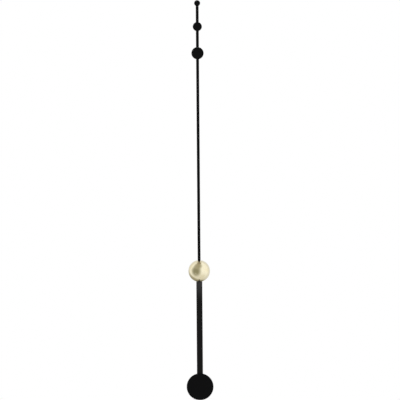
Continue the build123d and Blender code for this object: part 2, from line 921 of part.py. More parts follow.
with BuildPart() as setting_shaft:
    with BuildSketch(facing(setting_back)):
        with Locations(setting_point):
            Circle(setting_shaft_radius)
    extrude(amount=setting_pivot_back - setting_back)
    with BuildSketch(facing(setting_pivot_back)):
        with Locations(setting_point):
            Circle(arbor_radius)
    extrude(amount=arbor_front - setting_pivot_back)
    with BuildSketch(facing(setting_leaf_back)):
        with Locations(setting_point):
            Polygon(
                *tooth_outline(setting_teeth, motion_module, pinion_tooth, setting_direction + 180),
                align=None,
            )
    extrude(amount=setting_leaf_front - setting_leaf_back)
setting_shaft.part.label = "setting_shaft"
export_step(setting_shaft.part, "parts/setting_shaft.step")

with BuildPart() as setting_knob:
    with BuildSketch(facing(setting_back)):
        with Locations(setting_point):
            Circle(knob_radius)
            Circle(setting_shaft_radius + fixed_gap, mode=Mode.SUBTRACT)
            with PolarLocations(knob_radius, knob_flutes):
                Circle(flute_radius, mode=Mode.SUBTRACT)
    extrude(amount=knob_front - setting_back)
setting_knob.part.label = "setting_knob"
export_step(setting_knob.part, "parts/setting_knob.step")

# Hour hand: a plain strip with a round root, its collet and a half-ring counterweight
hour_root_radius = 12
collet_flange_radius = 5
hour_collet_radius = 3.4
hour_collet_back = 37.4
hour_collet_front = 39
hour_weight_inner = 10
hour_weight_outer = 24

with BuildPart() as hour_hand:
    with BuildSketch(facing(hour_sheet_back)):
        with Locations((0, (hour_reach - strip_width / 2) / 2)):
            Rectangle(strip_width, hour_reach - strip_width / 2)
        with Locations((0, hour_reach - strip_width / 2)):
            Circle(strip_width / 2)
        Circle(hour_root_radius)
        Circle(hour_collet_radius + fixed_gap, mode=Mode.SUBTRACT)
    extrude(amount=sheet)
hour_hand.part.label = "hour_hand"
export_step(hour_hand.part, "parts/hour_hand.step")

with BuildPart() as hour_collet:
    with BuildSketch(facing(hour_collet_back)):
        Circle(collet_flange_radius)
    extrude(amount=hour_sheet_back - hour_collet_back)
    with BuildSketch(facing(hour_sheet_back)):
        Circle(hour_collet_radius)
    extrude(amount=hour_collet_front - hour_sheet_back)
    with BuildSketch(facing(hour_collet_back)):
        Circle(hour_pipe_radius + fixed_gap)
    extrude(amount=hour_collet_front - hour_collet_back, mode=Mode.SUBTRACT)
hour_collet.part.label = "hour_collet"
export_step(hour_collet.part, "parts/hour_collet.step")

with BuildPart() as hour_counterweight:
    with BuildSketch(facing(hour_sheet_back + sheet)):
        Circle(hour_weight_outer)
        Circle(collet_flange_radius, mode=Mode.SUBTRACT)
        with Locations((0, hour_weight_outer / 2)):
            Rectangle(2 * hour_weight_outer, hour_weight_outer, mode=Mode.SUBTRACT)
    extrude(amount=sheet)
hour_counterweight.part.label = "hour_counterweight"
export_step(hour_counterweight.part, "parts/hour_counterweight.step")

# Minute hand: one long strip with a round root, three round markers in front of it and a collet
minute_root_radius = 22
minute_collet_radius = 2.6
minute_collet_back = 40
medium_marker_radius = small_marker_radius + marker_radius_step
large_marker_radius = medium_marker_radius + marker_radius_step
small_marker_height = minute_reach - small_marker_radius
medium_marker_height = (
    small_marker_height - small_marker_radius - marker_gap - medium_marker_radius
)
large_marker_height = (
    medium_marker_height - medium_marker_radius - marker_gap - large_marker_radius
)
weight_screw_points = [(-9, -12), (9, -12)]

with BuildPart() as minute_hand:
    with BuildSketch(facing(minute_sheet_back)):
        with Locations((0, small_marker_height / 2)):
            Rectangle(strip_width, small_marker_height)
        Circle(minute_root_radius)
        Circle(minute_collet_radius + fixed_gap, mode=Mode.SUBTRACT)
        with Locations(*weight_screw_points):
            Circle(screw_shank_radius + running_gap, mode=Mode.SUBTRACT)
    extrude(amount=sheet)
minute_hand.part.label = "minute_hand"
export_step(minute_hand.part, "parts/minute_hand.step")

with BuildPart() as small_marker:
    with BuildSketch(facing(minute_sheet_front)):
        with Locations((0, small_marker_height)):
            Circle(small_marker_radius)
    extrude(amount=sheet)
small_marker.part.label = "small_marker"
export_step(small_marker.part, "parts/small_marker.step")

with BuildPart() as medium_marker:
    with BuildSketch(facing(minute_sheet_front)):
        with Locations((0, medium_marker_height)):
            Circle(medium_marker_radius)
    extrude(amount=sheet)
medium_marker.part.label = "medium_marker"
export_step(medium_marker.part, "parts/medium_marker.step")

with BuildPart() as large_marker:
    with BuildSketch(facing(minute_sheet_front)):
        with Locations((0, large_marker_height)):
            Circle(large_marker_radius)
    extrude(amount=sheet)
large_marker.part.label = "large_marker"
export_step(large_marker.part, "parts/large_marker.step")

with BuildPart() as minute_collet:
    with BuildSketch(facing(minute_collet_back)):
        Circle(collet_flange_radius)
    extrude(amount=minute_sheet_back - minute_collet_back)
    with BuildSketch(facing(minute_sheet_back)):
        Circle(minute_collet_radius)
    extrude(amount=sheet)
    with BuildSketch(facing(minute_collet_back)):
        Circle(minute_pipe_radius + fixed_gap)
    extrude(amount=minute_sheet_front - minute_collet_back, mode=Mode.SUBTRACT)
minute_collet.part.label = "minute_collet"
export_step(minute_collet.part, "parts/minute_collet.step")

# Dome: a hollow brass hemisphere, and the tapped boss inside it that screws onto the minute pipe
dome_boss_radius = 4.5
dome_bore = hub_radius - hub_wall
boss_tip = dome_back + (dome_bore**2 - dome_boss_radius**2) ** 0.5 - fixed_gap
boss_bore_front = 50.5

with BuildPart() as dome_cap:
    with BuildSketch(Plane.XY):
        with BuildLine():
            Line((0, -dome_back - hub_radius), (0, -dome_back - dome_bore))
            CenterArc((0, -dome_back), dome_bore, 270, 90)
            Line((dome_bore, -dome_back), (hub_radius, -dome_back))
            CenterArc((0, -dome_back), hub_radius, 270, 90)
        make_face()
    revolve(axis=Axis.Y)
dome_cap.part.label = "dome_cap"
export_step(dome_cap.part, "parts/dome_cap.step")

with BuildPart() as dome_boss:
    with BuildSketch(facing(minute_sheet_front)):
        Circle(dome_boss_radius)
    extrude(amount=boss_tip - minute_sheet_front)
    with BuildSketch(facing(minute_sheet_front)):
        Circle(minute_pipe_radius + fixed_gap)
    extrude(amount=boss_bore_front - minute_sheet_front, mode=Mode.SUBTRACT)
dome_boss.part.label = "dome_boss"
export_step(dome_boss.part, "parts/dome_boss.step")

# Minute counterweight: a cast brass segment that fills the dome below its boss
weight_radius = 25
weight_top = -6
weight_back = 41.5
weight_hole_depth = 6
weight_pad_radius = 1.6

with BuildPart() as minute_counterweight:
    with Locations((0, -dome_back, 0)):
        Sphere(weight_radius)
    split(bisect_by=facing(weight_back), keep=Keep.TOP)
    split(bisect_by=Plane.XY.offset(weight_top), keep=Keep.BOTTOM)
    with BuildSketch(facing(minute_sheet_front)):
        with Locations(*weight_screw_points):
            Circle(screw_shank_radius + fixed_gap)
    extrude(amount=weight_hole_depth, mode=Mode.SUBTRACT)
    with BuildSketch(facing(minute_sheet_front)):
        with Locations(*weight_screw_points):
            Circle(weight_pad_radius)
            Circle(screw_shank_radius + fixed_gap, mode=Mode.SUBTRACT)
    extrude(amount=weight_back - minute_sheet_front)
minute_counterweight.part.label = "minute_counterweight"
export_step(minute_counterweight.part, "parts/minute_counterweight.step")

weight_screw_head_back = 40
weight_screw_head_radius = 1.6
weight_screw_tip = 46

with BuildPart() as counterweight_screws:
    with BuildSketch(facing(weight_screw_head_back)):
        with Locations(*weight_screw_points):
            Circle(weight_screw_head_radius)
    extrude(amount=minute_sheet_back - weight_screw_head_back)
    with BuildSketch(facing(minute_sheet_back)):
        with Locations(*weight_screw_points):
            Circle(screw_shank_radius)
    extrude(amount=weight_screw_tip - minute_sheet_back)
counterweight_screws.part.label = "counterweight_screws"
export_step(counterweight_screws.part, "parts/counterweight_screws.step")

# Pendulum pivot: a headed pin in the back cover's boss
pivot_head_radius = 1.6
pivot_head_back = 2.3
pivot_head_front = 2.9
pivot_front = 10.4

with BuildPart() as pendulum_pivot:
    with BuildSketch(facing(pivot_head_back)):
        Circle(pivot_head_radius)
    extrude(amount=pivot_head_front - pivot_head_back)
    with BuildSketch(facing(pivot_head_front)):
        Circle(pivot_radius)
    extrude(amount=pivot_front - pivot_head_front)
pendulum_pivot.part.label = "pendulum_pivot"
export_step(pendulum_pivot.part, "parts/pendulum_pivot.step")

# Pendulum hanger: an eye on the pivot and a tongue screwed to the bar
eye_radius = 2.6
eye_back = 3.2
eye_front = 7.8
tongue_half_width = 4
tongue_bottom = -9
hanger_screw_points = [(-2, -6), (2, -6)]
hanger_screw_head_radius = 1.2
hanger_screw_head_front = 8.5
hanger_screw_radius = 0.6

with BuildPart() as pendulum_hanger:
    with BuildSketch(facing(eye_back)):
        Circle(eye_radius)
    extrude(amount=eye_front - eye_back)
    with BuildSketch(facing(bar_front)):
        with Locations((0, tongue_bottom / 2)):
            Rectangle(2 * tongue_half_width, -tongue_bottom)
        with Locations(*hanger_screw_points):
            Circle(hanger_screw_radius + fixed_gap, mode=Mode.SUBTRACT)
    extrude(amount=eye_front - bar_front)
    with BuildSketch(facing(eye_back)):
        Circle(pivot_radius + running_gap)
    extrude(amount=eye_front - eye_back, mode=Mode.SUBTRACT)
pendulum_hanger.part.label = "pendulum_hanger"
export_step(pendulum_hanger.part, "parts/pendulum_hanger.step")

with BuildPart() as hanger_screws:
    with BuildSketch(facing(bar_back)):
        with Locations(*hanger_screw_points):
            Circle(hanger_screw_radius)
    extrude(amount=eye_front - bar_back)
    with BuildSketch(facing(eye_front)):
        with Locations(*hanger_screw_points):
            Circle(hanger_screw_head_radius)
    extrude(amount=hanger_screw_head_front - eye_front)
hanger_screws.part.label = "hanger_screws"
export_step(hanger_screws.part, "parts/hanger_screws.step")

# Pendulum bar: a wide flat strip from the hanger down to the bob
bar_top = -3.2
bob_screw_points = [(0, -276), (0, -296)]
bob_screw_radius = 1.2

with BuildPart() as pendulum_bar:
    with BuildSketch(facing(bar_back)):
        with Locations((0, (bar_top + bar_bottom) / 2)):
            Rectangle(bar_width, bar_top - bar_bottom)
        with Locations(*hanger_screw_points):
            Circle(hanger_screw_radius + fixed_gap, mode=Mode.SUBTRACT)
        with Locations(*bob_screw_points):
            Circle(bob_screw_radius + running_gap, mode=Mode.SUBTRACT)
    extrude(amount=bar_front - bar_back)
pendulum_bar.part.label = "pendulum_bar"
export_step(pendulum_bar.part, "parts/pendulum_bar.step")

# Pendulum magnet, on the bar's front, facing the drive coil through the back cover
pendulum_magnet_radius = 4
pendulum_magnet_front = 8.5

with BuildPart() as pendulum_magnet:
    with BuildSketch(facing(bar_front)):
        with Locations((0, magnet_height)):
            Circle(pendulum_magnet_radius)
    extrude(amount=pendulum_magnet_front - bar_front)
pendulum_magnet.part.label = "pendulum_magnet"
export_step(pendulum_magnet.part, "parts/pendulum_magnet.step")

# Pendulum bob: a flat steel disc in front of the bar, held by two screws from behind
bob_screw_head_radius = 2.4
bob_screw_head_back = 2
bob_screw_tip = 8.8
bob_edge = 0.4

with BuildPart() as pendulum_bob:
    with BuildSketch(facing(bar_front)):
        with Locations((0, bob_centre)):
            Circle(bob_radius)
    extrude(amount=bob_thickness)
    chamfer(pendulum_bob.edges().filter_by(GeomType.CIRCLE), length=bob_edge)
    with BuildSketch(facing(bar_front)):
        with Locations(*bob_screw_points):
            Circle(bob_screw_radius + fixed_gap)
    extrude(amount=bob_thickness - sheet, mode=Mode.SUBTRACT)
pendulum_bob.part.label = "pendulum_bob"
export_step(pendulum_bob.part, "parts/pendulum_bob.step")

with BuildPart() as bob_screws:
    with BuildSketch(facing(bob_screw_head_back)):
        with Locations(*bob_screw_points):
            Circle(bob_screw_head_radius)
    extrude(amount=bar_back - bob_screw_head_back)
    with BuildSketch(facing(bar_back)):
        with Locations(*bob_screw_points):
            Circle(bob_screw_radius)
    extrude(amount=bob_screw_tip - bar_back)
bob_screws.part.label = "bob_screws"
export_step(bob_screws.part, "parts/bob_screws.step")
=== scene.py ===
import bmesh
import bpy
import json
from math import cos, pi, radians, sin
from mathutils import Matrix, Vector

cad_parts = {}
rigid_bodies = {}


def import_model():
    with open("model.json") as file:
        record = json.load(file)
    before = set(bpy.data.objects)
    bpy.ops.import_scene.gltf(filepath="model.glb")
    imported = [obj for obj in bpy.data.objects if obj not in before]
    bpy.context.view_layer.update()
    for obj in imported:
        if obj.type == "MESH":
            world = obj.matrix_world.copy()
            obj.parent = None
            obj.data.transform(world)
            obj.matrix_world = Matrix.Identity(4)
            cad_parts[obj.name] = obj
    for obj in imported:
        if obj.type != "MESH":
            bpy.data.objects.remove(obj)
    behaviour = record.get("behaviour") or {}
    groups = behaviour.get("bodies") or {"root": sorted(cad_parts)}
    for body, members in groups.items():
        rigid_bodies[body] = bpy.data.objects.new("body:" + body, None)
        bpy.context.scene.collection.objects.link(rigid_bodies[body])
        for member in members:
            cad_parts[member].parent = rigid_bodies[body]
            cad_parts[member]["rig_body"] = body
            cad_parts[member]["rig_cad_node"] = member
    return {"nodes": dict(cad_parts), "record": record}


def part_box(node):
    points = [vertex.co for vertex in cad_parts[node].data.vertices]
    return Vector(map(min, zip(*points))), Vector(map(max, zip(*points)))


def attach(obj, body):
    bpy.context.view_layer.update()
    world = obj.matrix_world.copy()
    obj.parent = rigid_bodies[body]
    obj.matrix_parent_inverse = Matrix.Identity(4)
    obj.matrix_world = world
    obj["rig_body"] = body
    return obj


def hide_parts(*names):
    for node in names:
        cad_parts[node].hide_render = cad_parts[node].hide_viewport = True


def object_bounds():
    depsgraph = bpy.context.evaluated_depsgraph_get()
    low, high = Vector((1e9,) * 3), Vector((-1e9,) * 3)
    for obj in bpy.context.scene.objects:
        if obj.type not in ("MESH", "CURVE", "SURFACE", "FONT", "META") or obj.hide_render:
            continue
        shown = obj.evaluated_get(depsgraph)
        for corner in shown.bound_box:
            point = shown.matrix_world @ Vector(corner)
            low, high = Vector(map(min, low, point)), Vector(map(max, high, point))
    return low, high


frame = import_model()
cadLow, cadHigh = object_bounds()
mm = 0.001
bodyOf = {node: body for body, members in frame["record"]["behaviour"]["bodies"].items() for node in members}
slotOf = {part["node"]: part["material_slot"] for part in frame["record"]["subparts"]}
print("frame loaded,", len(frame["nodes"]), "nodes")


# A point told as the CAD tells it: right of the hands' axis, depth out of the wall and height, in mm
def at(right, depth, up):
    return Vector((right, -depth, up)) * mm


# Camera
shot = {
    "fieldMm": 1000,  # height of the view, in the plane that is planeMm out from the wall
    "planeMm": 25,
    "distanceMm": 20000,
    "sensorMm": 36,
    "aimRightMm": 3.4,
    "aimUpMm": 177.25,
    "leanDegrees": 0.446,  # the clock stands this far off plumb in the view
    "clipM": (0.5, 50),
}
bpy.ops.object.camera_add(
    location=at(shot["aimRightMm"], shot["planeMm"] + shot["distanceMm"], shot["aimUpMm"]),
    rotation=(radians(90), radians(shot["leanDegrees"]), 0),
)
camera = bpy.context.object
camera.data.sensor_width = shot["sensorMm"]
camera.data.lens = shot["sensorMm"] * shot["distanceMm"] / shot["fieldMm"]
camera.data.clip_start, camera.data.clip_end = shot["clipM"]
bpy.context.scene.camera = camera
bpy.context.scene.view_settings.view_transform = "Standard"
print("camera placed")


# Colour and node helpers
def linear(hexColour):
    channels = [int(hexColour[i:i + 2], 16) / 255 for i in (0, 2, 4)]
    return [c / 12.92 if c <= 0.04045 else ((c + 0.055) / 1.055) ** 2.4 for c in channels] + [1]


# Adds one node. Settings go to sockets or, where there is no such socket, to the node itself
def addNode(tree, kind, settings=None, links=None):
    node = tree.nodes.new(kind)
    for name, value in (settings or {}).items():
        if isinstance(name, int) or name in node.inputs:
            node.inputs[name].default_value = value
        else:
            setattr(node, name, value)
    for name, socket in (links or {}).items():
        tree.links.new(socket, node.inputs[name])
    return node


# Noise scale for features of a real size, and the same for a wave, which repeats every 0.314 at scale 1
def noiseScale(sizeMm):
    return 1 / (sizeMm * mm)


def waveScale(sizeMm):
    return 0.314 / (sizeMm * mm)


def newMaterial(name, settings):
    material = bpy.data.materials.new(name)
    material.use_nodes = True
    tree = material.node_tree
    tree.nodes.clear()
    shader = addNode(tree, "ShaderNodeBsdfPrincipled", settings)
    addNode(tree, "ShaderNodeOutputMaterial", links={"Surface": shader.outputs[0]})
    place = addNode(tree, "ShaderNodeTexCoord").outputs["Object"]
    return material, tree, shader, place


# Two colours, or two values of one socket, mixed by a pattern
def tint(tree, shader, pattern, dark, light, low=0.35, high=0.65):
    amount = addNode(tree, "ShaderNodeMapRange", {"From Min": low, "From Max": high}, {"Value": pattern})
    mix = addNode(tree, "ShaderNodeMix", {"data_type": "RGBA", 6: linear(dark), 7: linear(light)},
                  {0: amount.outputs[0]})
    tree.links.new(mix.outputs[2], shader.inputs["Base Color"])
    return mix


def vary(tree, shader, socket, pattern, least, most):
    value = addNode(tree, "ShaderNodeMapRange",
                    {"From Min": 0.3, "From Max": 0.7, "To Min": least, "To Max": most}, {"Value": pattern})
    tree.links.new(value.outputs[0], shader.inputs[socket])


# Finishes
# Polyester powder coat on sheet steel, baked: deep black, nearly matt, with a faint orange peel
def makePowderCoat():
    look = {"deep": "030306", "grey": "08090d", "peelMm": 3.5, "peelHeightMm": 0.04, "grainMm": 0.7,
            "patchMm": 55, "roughness": (0.5, 0.62)}
    material, tree, shader, place = newMaterial("powderCoatMattBlack", {"Specular IOR Level": 0.12, "IOR": 1.5})
    grain = addNode(tree, "ShaderNodeTexNoise", {"Scale": noiseScale(look["grainMm"]), "Detail": 3},
                    {"Vector": place})
    peel = addNode(tree, "ShaderNodeTexNoise", {"Scale": noiseScale(look["peelMm"]), "Detail": 2},
                   {"Vector": place})
    patch = addNode(tree, "ShaderNodeTexNoise", {"Scale": noiseScale(look["patchMm"]), "Detail": 1},
                    {"Vector": place})
    tint(tree, shader, grain.outputs[0], look["deep"], look["grey"])
    vary(tree, shader, "Roughness", patch.outputs[0], *look["roughness"])
    bump = addNode(tree, "ShaderNodeBump", {"Distance": look["peelHeightMm"] * mm, "Strength": 1},
                   {"Height": peel.outputs[0]})
    tree.links.new(bump.outputs[0], shader.inputs["Normal"])
    return material


# Nitrocellulose lacquer rolled on steel bar: a satin black, a little lighter and glossier than the coat, with a
# painted sheen: the colour turns greyer up where the bar comes out of the hub, for light thrown on it by the
# brass dome
def makeSatinLacquer():
    look = {"deep": "09090b", "grey": "111115", "flowMm": (2.2, 2.2, 30), "flowHeightMm": 0.012, "grainMm": 1.1,
            "paleTone": "434347", "sheenFromMm": -80, "sheenToMm": -20, "roughness": (0.3, 0.4)}
    material, tree, shader, place = newMaterial("satinBlackLacquer", {"Specular IOR Level": 0.22, "IOR": 1.5})
    drawn = addNode(tree, "ShaderNodeMapping", {"Scale": [noiseScale(size) for size in look["flowMm"]]},
                    {"Vector": place})
    flow = addNode(tree, "ShaderNodeTexNoise", {"Scale": 1, "Detail": 2}, {"Vector": drawn.outputs[0]})
    grain = addNode(tree, "ShaderNodeTexNoise", {"Scale": noiseScale(look["grainMm"]), "Detail": 3},
                    {"Vector": place})
    black = tint(tree, shader, grain.outputs[0], look["deep"], look["grey"])
    # Painted sheen: the base colour turns grey towards the top of the bar, near the hub, standing in for light
    # from the brass dome
    height = addNode(tree, "ShaderNodeSeparateXYZ", links={"Vector": place})
    near = addNode(tree, "ShaderNodeMapRange",
                   {"interpolation_type": "SMOOTHSTEP", "From Min": look["sheenFromMm"] * mm,
                    "From Max": look["sheenToMm"] * mm}, {"Value": height.outputs["Z"]})
    domeSheen = addNode(tree, "ShaderNodeMix", {"data_type": "RGBA", 7: linear(look["paleTone"])},
                    {0: near.outputs[0], 6: black.outputs[2]})
    tree.links.new(domeSheen.outputs[2], shader.inputs["Base Color"])
    vary(tree, shader, "Roughness", flow.outputs[0], *look["roughness"])
    bump = addNode(tree, "ShaderNodeBump", {"Distance": look["flowHeightMm"] * mm, "Strength": 1},
                   {"Height": flow.outputs[0]})
    tree.links.new(bump.outputs[0], shader.inputs["Normal"])
    return material


# Spun and buffed brass under clear lacquer: pale, mirror-like but softly waved by the spinning tool
def makePolishedBrass():
    look = {"bright": "f8efcf", "dull": "f1e5bc", "cloudMm": 16, "waveMm": 13, "waveHeightMm": 0.05,
            "lineMm": 0.9, "lineHeightMm": 0.0012, "roughness": (0.07, 0.13)}
    material, tree, shader, place = newMaterial(
        "spunBrassLacquered", {"Metallic": 1, "Coat Weight": 0.8, "Coat Roughness": 0.06, "Coat IOR": 1.5})
    cloud = addNode(tree, "ShaderNodeTexNoise", {"Scale": noiseScale(look["cloudMm"]), "Detail": 4},
                    {"Vector": place})
    swell = addNode(tree, "ShaderNodeTexNoise", {"Scale": noiseScale(look["waveMm"]), "Detail": 1},
                    {"Vector": place})
    lines = addNode(tree, "ShaderNodeTexWave",
                    {"wave_type": "RINGS", "rings_direction": "Y", "Scale": waveScale(look["lineMm"]),
                     "Distortion": 0.6, "Detail": 2}, {"Vector": place})
    tint(tree, shader, cloud.outputs[0], look["dull"], look["bright"], 0.25, 0.55)
    vary(tree, shader, "Roughness", cloud.outputs[0], look["roughness"][1], look["roughness"][0])
    broad = addNode(tree, "ShaderNodeBump", {"Distance": look["waveHeightMm"] * mm, "Strength": 1},
                    {"Height": swell.outputs[0]})
    fine = addNode(tree, "ShaderNodeBump", {"Distance": look["lineHeightMm"] * mm, "Strength": 1},
                   {"Height": lines.outputs[0], "Normal": broad.outputs[0]})
    tree.links.new(fine.outputs[0], shader.inputs["Normal"])
    return material


# Free-cutting brass straight off the lathe: yellow, with tool marks in rings about the hands' axis
def makeTurnedBrass():
    look = {"bright": "e3c782", "dull": "d2b46e", "ringMm": 0.7, "ringHeightMm": 0.012, "cloudMm": 6,
            "roughness": (0.22, 0.32)}
    material, tree, shader, place = newMaterial("turnedBrass", {"Metallic": 1})
    rings = addNode(tree, "ShaderNodeTexWave",
                    {"wave_type": "RINGS", "rings_direction": "Y", "Scale": waveScale(look["ringMm"]),
                     "Distortion": 1.2, "Detail": 2}, {"Vector": place})
    cloud = addNode(tree, "ShaderNodeTexNoise", {"Scale": noiseScale(look["cloudMm"]), "Detail": 4},
                    {"Vector": place})
    tint(tree, shader, cloud.outputs[0], look["dull"], look["bright"])
    vary(tree, shader, "Roughness", cloud.outputs[0], *look["roughness"])
    bump = addNode(tree, "ShaderNodeBump", {"Distance": look["ringHeightMm"] * mm, "Strength": 1},
                   {"Height": rings.outputs[0]})
    tree.links.new(bump.outputs[0], shader.inputs["Normal"])
    return material


# Mild steel, zinc plated and clear passivated: blue-grey with faint yellow clouds and a frosty grain
def makeZincSteel():
    look = {"blue": "a9aeb3", "yellow": "c9c6b4", "cloudMm": 6, "grainMm": 0.5, "grainHeightMm": 0.006,
            "roughness": (0.26, 0.42)}
    material, tree, shader, place = newMaterial("zincPlatedSteel", {"Metallic": 1})
    cloud = addNode(tree, "ShaderNodeTexNoise", {"Scale": noiseScale(look["cloudMm"]), "Detail": 5},
                    {"Vector": place})
    grain = addNode(tree, "ShaderNodeTexNoise", {"Scale": noiseScale(look["grainMm"]), "Detail": 3},
                    {"Vector": place})
    tint(tree, shader, cloud.outputs[0], look["blue"], look["yellow"])
    vary(tree, shader, "Roughness", grain.outputs[0], *look["roughness"])
    bump = addNode(tree, "ShaderNodeBump", {"Distance": look["grainHeightMm"] * mm, "Strength": 1},
                   {"Height": grain.outputs[0]})
    tree.links.new(bump.outputs[0], shader.inputs["Normal"])
    return material


# ABS moulded against a spark-eroded tool: black with a fine even pebble
def makeMouldedAbs():
    look = {"deep": "151517", "grey": "232325", "pebbleMm": 0.6, "pebbleHeightMm": 0.03,
            "roughness": (0.42, 0.55)}
    material, tree, shader, place = newMaterial("mouldedBlackAbs", {"IOR": 1.53})
    pebble = addNode(tree, "ShaderNodeTexVoronoi", {"Scale": noiseScale(look["pebbleMm"]),
                                                    "feature": "SMOOTH_F1"}, {"Vector": place})
    tint(tree, shader, pebble.outputs[0], look["deep"], look["grey"], 0.1, 0.7)
    vary(tree, shader, "Roughness", pebble.outputs[0], *look["roughness"])
    bump = addNode(tree, "ShaderNodeBump", {"Distance": look["pebbleHeightMm"] * mm, "Strength": 1},
                   {"Height": pebble.outputs[0]})
    tree.links.new(bump.outputs[0], shader.inputs["Normal"])
    return material


# Natural acetal, moulded: milky white and waxy, with faint flow clouds
def makeAcetal():
    look = {"cream": "e4e0d2", "white": "f0eee6", "flowMm": 5, "roughness": (0.28, 0.4), "depthMm": 0.4}
    material, tree, shader, place = newMaterial(
        "mouldedAcetal", {"IOR": 1.48, "Subsurface Weight": 0.25, "Subsurface Scale": look["depthMm"] * mm})
    flow = addNode(tree, "ShaderNodeTexNoise",
                   {"Scale": noiseScale(look["flowMm"]), "Detail": 3, "Distortion": 1.5}, {"Vector": place})
    tint(tree, shader, flow.outputs[0], look["cream"], look["white"])
    vary(tree, shader, "Roughness", flow.outputs[0], *look["roughness"])
    return material


# Green solder mask over etched copper: tracks show as paler, slightly raised lines under the gloss
def makeSolderMask():
    look = {"mask": "0d4a25", "track": "2a7d3f", "spacingMm": 1.6, "trackMm": 0.12, "runMm": 11.2,
            "stagger": 0.37, "stretch": 2.2, "trackHeightMm": 0.03}
    material, tree, shader, place = newMaterial(
        "solderMaskGreen", {"Roughness": 0.3, "Coat Weight": 0.6, "Coat Roughness": 0.12})
    flat = addNode(tree, "ShaderNodeMapping", {"Rotation": (radians(90), 0, 0)}, {"Vector": place})
    tracks = addNode(tree, "ShaderNodeTexBrick",
                     {"Color1": (0, 0, 0, 1), "Color2": (0, 0, 0, 1), "Mortar": (1, 1, 1, 1), "Scale": 1,
                      "Mortar Size": look["trackMm"] * mm, "Brick Width": look["runMm"] * mm,
                      "Row Height": look["spacingMm"] * mm, "offset": look["stagger"], "offset_frequency": 3,
                      "squash": look["stretch"], "squash_frequency": 2}, {"Vector": flat.outputs[0]})
    tint(tree, shader, tracks.outputs[0], look["mask"], look["track"])
    bump = addNode(tree, "ShaderNodeBump", {"Distance": look["trackHeightMm"] * mm, "Strength": 0.6},
                   {"Height": tracks.outputs[0]})
    tree.links.new(bump.outputs[0], shader.inputs["Normal"])
    return material


# Enamelled copper wire: orange-brown metal seen through a clear amber varnish
def makeCopperWire():
    look = {"amber": "a9552a", "copper": "cf8150", "streakMm": 1.5, "roughness": (0.22, 0.34)}
    material, tree, shader, place = newMaterial(
        "enamelledCopperWire", {"Metallic": 1, "Coat Weight": 0.8, "Coat Roughness": 0.15})
    streak = addNode(tree, "ShaderNodeTexNoise", {"Scale": noiseScale(look["streakMm"]), "Detail": 3},
                     {"Vector": place})
    tint(tree, shader, streak.outputs[0], look["amber"], look["copper"])
    vary(tree, shader, "Roughness", streak.outputs[0], *look["roughness"])
    return material


# Sintered ferrite, ground flat: charcoal, matt, with small paler grains and pits
def makeFerrite():
    look = {"dark": "2a2a2d", "pale": "4b4b4f", "grainMm": 0.5, "pitHeightMm": 0.03, "roughness": (0.5, 0.7)}
    material, tree, shader, place = newMaterial("sinteredFerrite", {"IOR": 2.0})
    grain = addNode(tree, "ShaderNodeTexVoronoi", {"Scale": noiseScale(look["grainMm"])}, {"Vector": place})
    tint(tree, shader, grain.outputs[0], look["dark"], look["pale"], 0.2, 0.8)
    vary(tree, shader, "Roughness", grain.outputs[0], *look["roughness"])
    bump = addNode(tree, "ShaderNodeBump", {"Distance": look["pitHeightMm"] * mm, "Strength": 0.7},
                   {"Height": grain.outputs[0]})
    tree.links.new(bump.outputs[0], shader.inputs["Normal"])
    return material


# Nitrile rubber sheet: charcoal black, dusty and without gloss
def makeRubber():
    look = {"black": "161616", "paleTone": "2b2b2a", "grainMm": 0.4, "grainHeightMm": 0.02,
            "roughness": (0.75, 0.9)}
    material, tree, shader, place = newMaterial("nitrileRubber", {"IOR": 1.52, "Sheen Weight": 0.1})
    grain = addNode(tree, "ShaderNodeTexNoise", {"Scale": noiseScale(look["grainMm"]), "Detail": 5},
                    {"Vector": place})
    tint(tree, shader, grain.outputs[0], look["black"], look["paleTone"])
    vary(tree, shader, "Roughness", grain.outputs[0], *look["roughness"])
    bump = addNode(tree, "ShaderNodeBump", {"Distance": look["grainHeightMm"] * mm, "Strength": 1},
                   {"Height": grain.outputs[0]})
    tree.links.new(bump.outputs[0], shader.inputs["Normal"])
    return material


# Plain film shrunk on the cell: slate blue, glossy and faintly rippled, with a pale band at its positive end
def makeCellJacket():
    look = {"film": "35556b", "band": "c6cac8", "bandFromMm": 7, "rippleMm": 4, "rippleHeightMm": 0.02,
            "roughness": (0.25, 0.35)}
    material, tree, shader, place = newMaterial("shrunkFilmJacket", {"IOR": 1.5, "Coat Weight": 0.4})
    along = addNode(tree, "ShaderNodeSeparateXYZ", links={"Vector": place})
    band = addNode(tree, "ShaderNodeMath", {"operation": "GREATER_THAN", 1: look["bandFromMm"] * mm},
                   {0: along.outputs[0]})
    ripple = addNode(tree, "ShaderNodeTexNoise", {"Scale": noiseScale(look["rippleMm"]), "Detail": 2},
                     {"Vector": place})
    tint(tree, shader, band.outputs[0], look["film"], look["band"])
    vary(tree, shader, "Roughness", ripple.outputs[0], *look["roughness"])
    bump = addNode(tree, "ShaderNodeBump", {"Distance": look["rippleHeightMm"] * mm, "Strength": 1},
                   {"Height": ripple.outputs[0]})
    tree.links.new(bump.outputs[0], shader.inputs["Normal"])
    return material


finishes = {
    "black_lacquer": makePowderCoat(),
    "polished_brass": makePolishedBrass(),
    "turned_brass": makeTurnedBrass(),
    "plain_steel": makeZincSteel(),
    "black_plastic": makeMouldedAbs(),
    "white_plastic": makeAcetal(),
    "board_green": makeSolderMask(),
    "copper_wire": makeCopperWire(),
    "magnet_grey": makeFerrite(),
    "black_rubber": makeRubber(),
    "cell_jacket": makeCellJacket(),
}
satinLacquer = makeSatinLacquer()
print("finishes made:", len(finishes) + 1)


# Modelling helpers
modelling = {
    "mergeMm": 0.001,  # points nearer than this are one
    "turnMergeMm": 0.002,  # the same while a section is turned
    "pickMm": 0.005,  # how near a corner has to be to where it is looked for
    "pastMm": 1,  # a cutting tool reaches this far past what it cuts
    "flatDegrees": 0.5,  # faces that differ by less are one flat
    "smoothDegrees": 38,  # edges sharper than this stay sharp
    "bevelMarginDegrees": 4,  # and those sharper by this again are bevelled
    "flatWeight": 80,  # how far the larger faces steady the shading
    "roundSegments": 4,
}


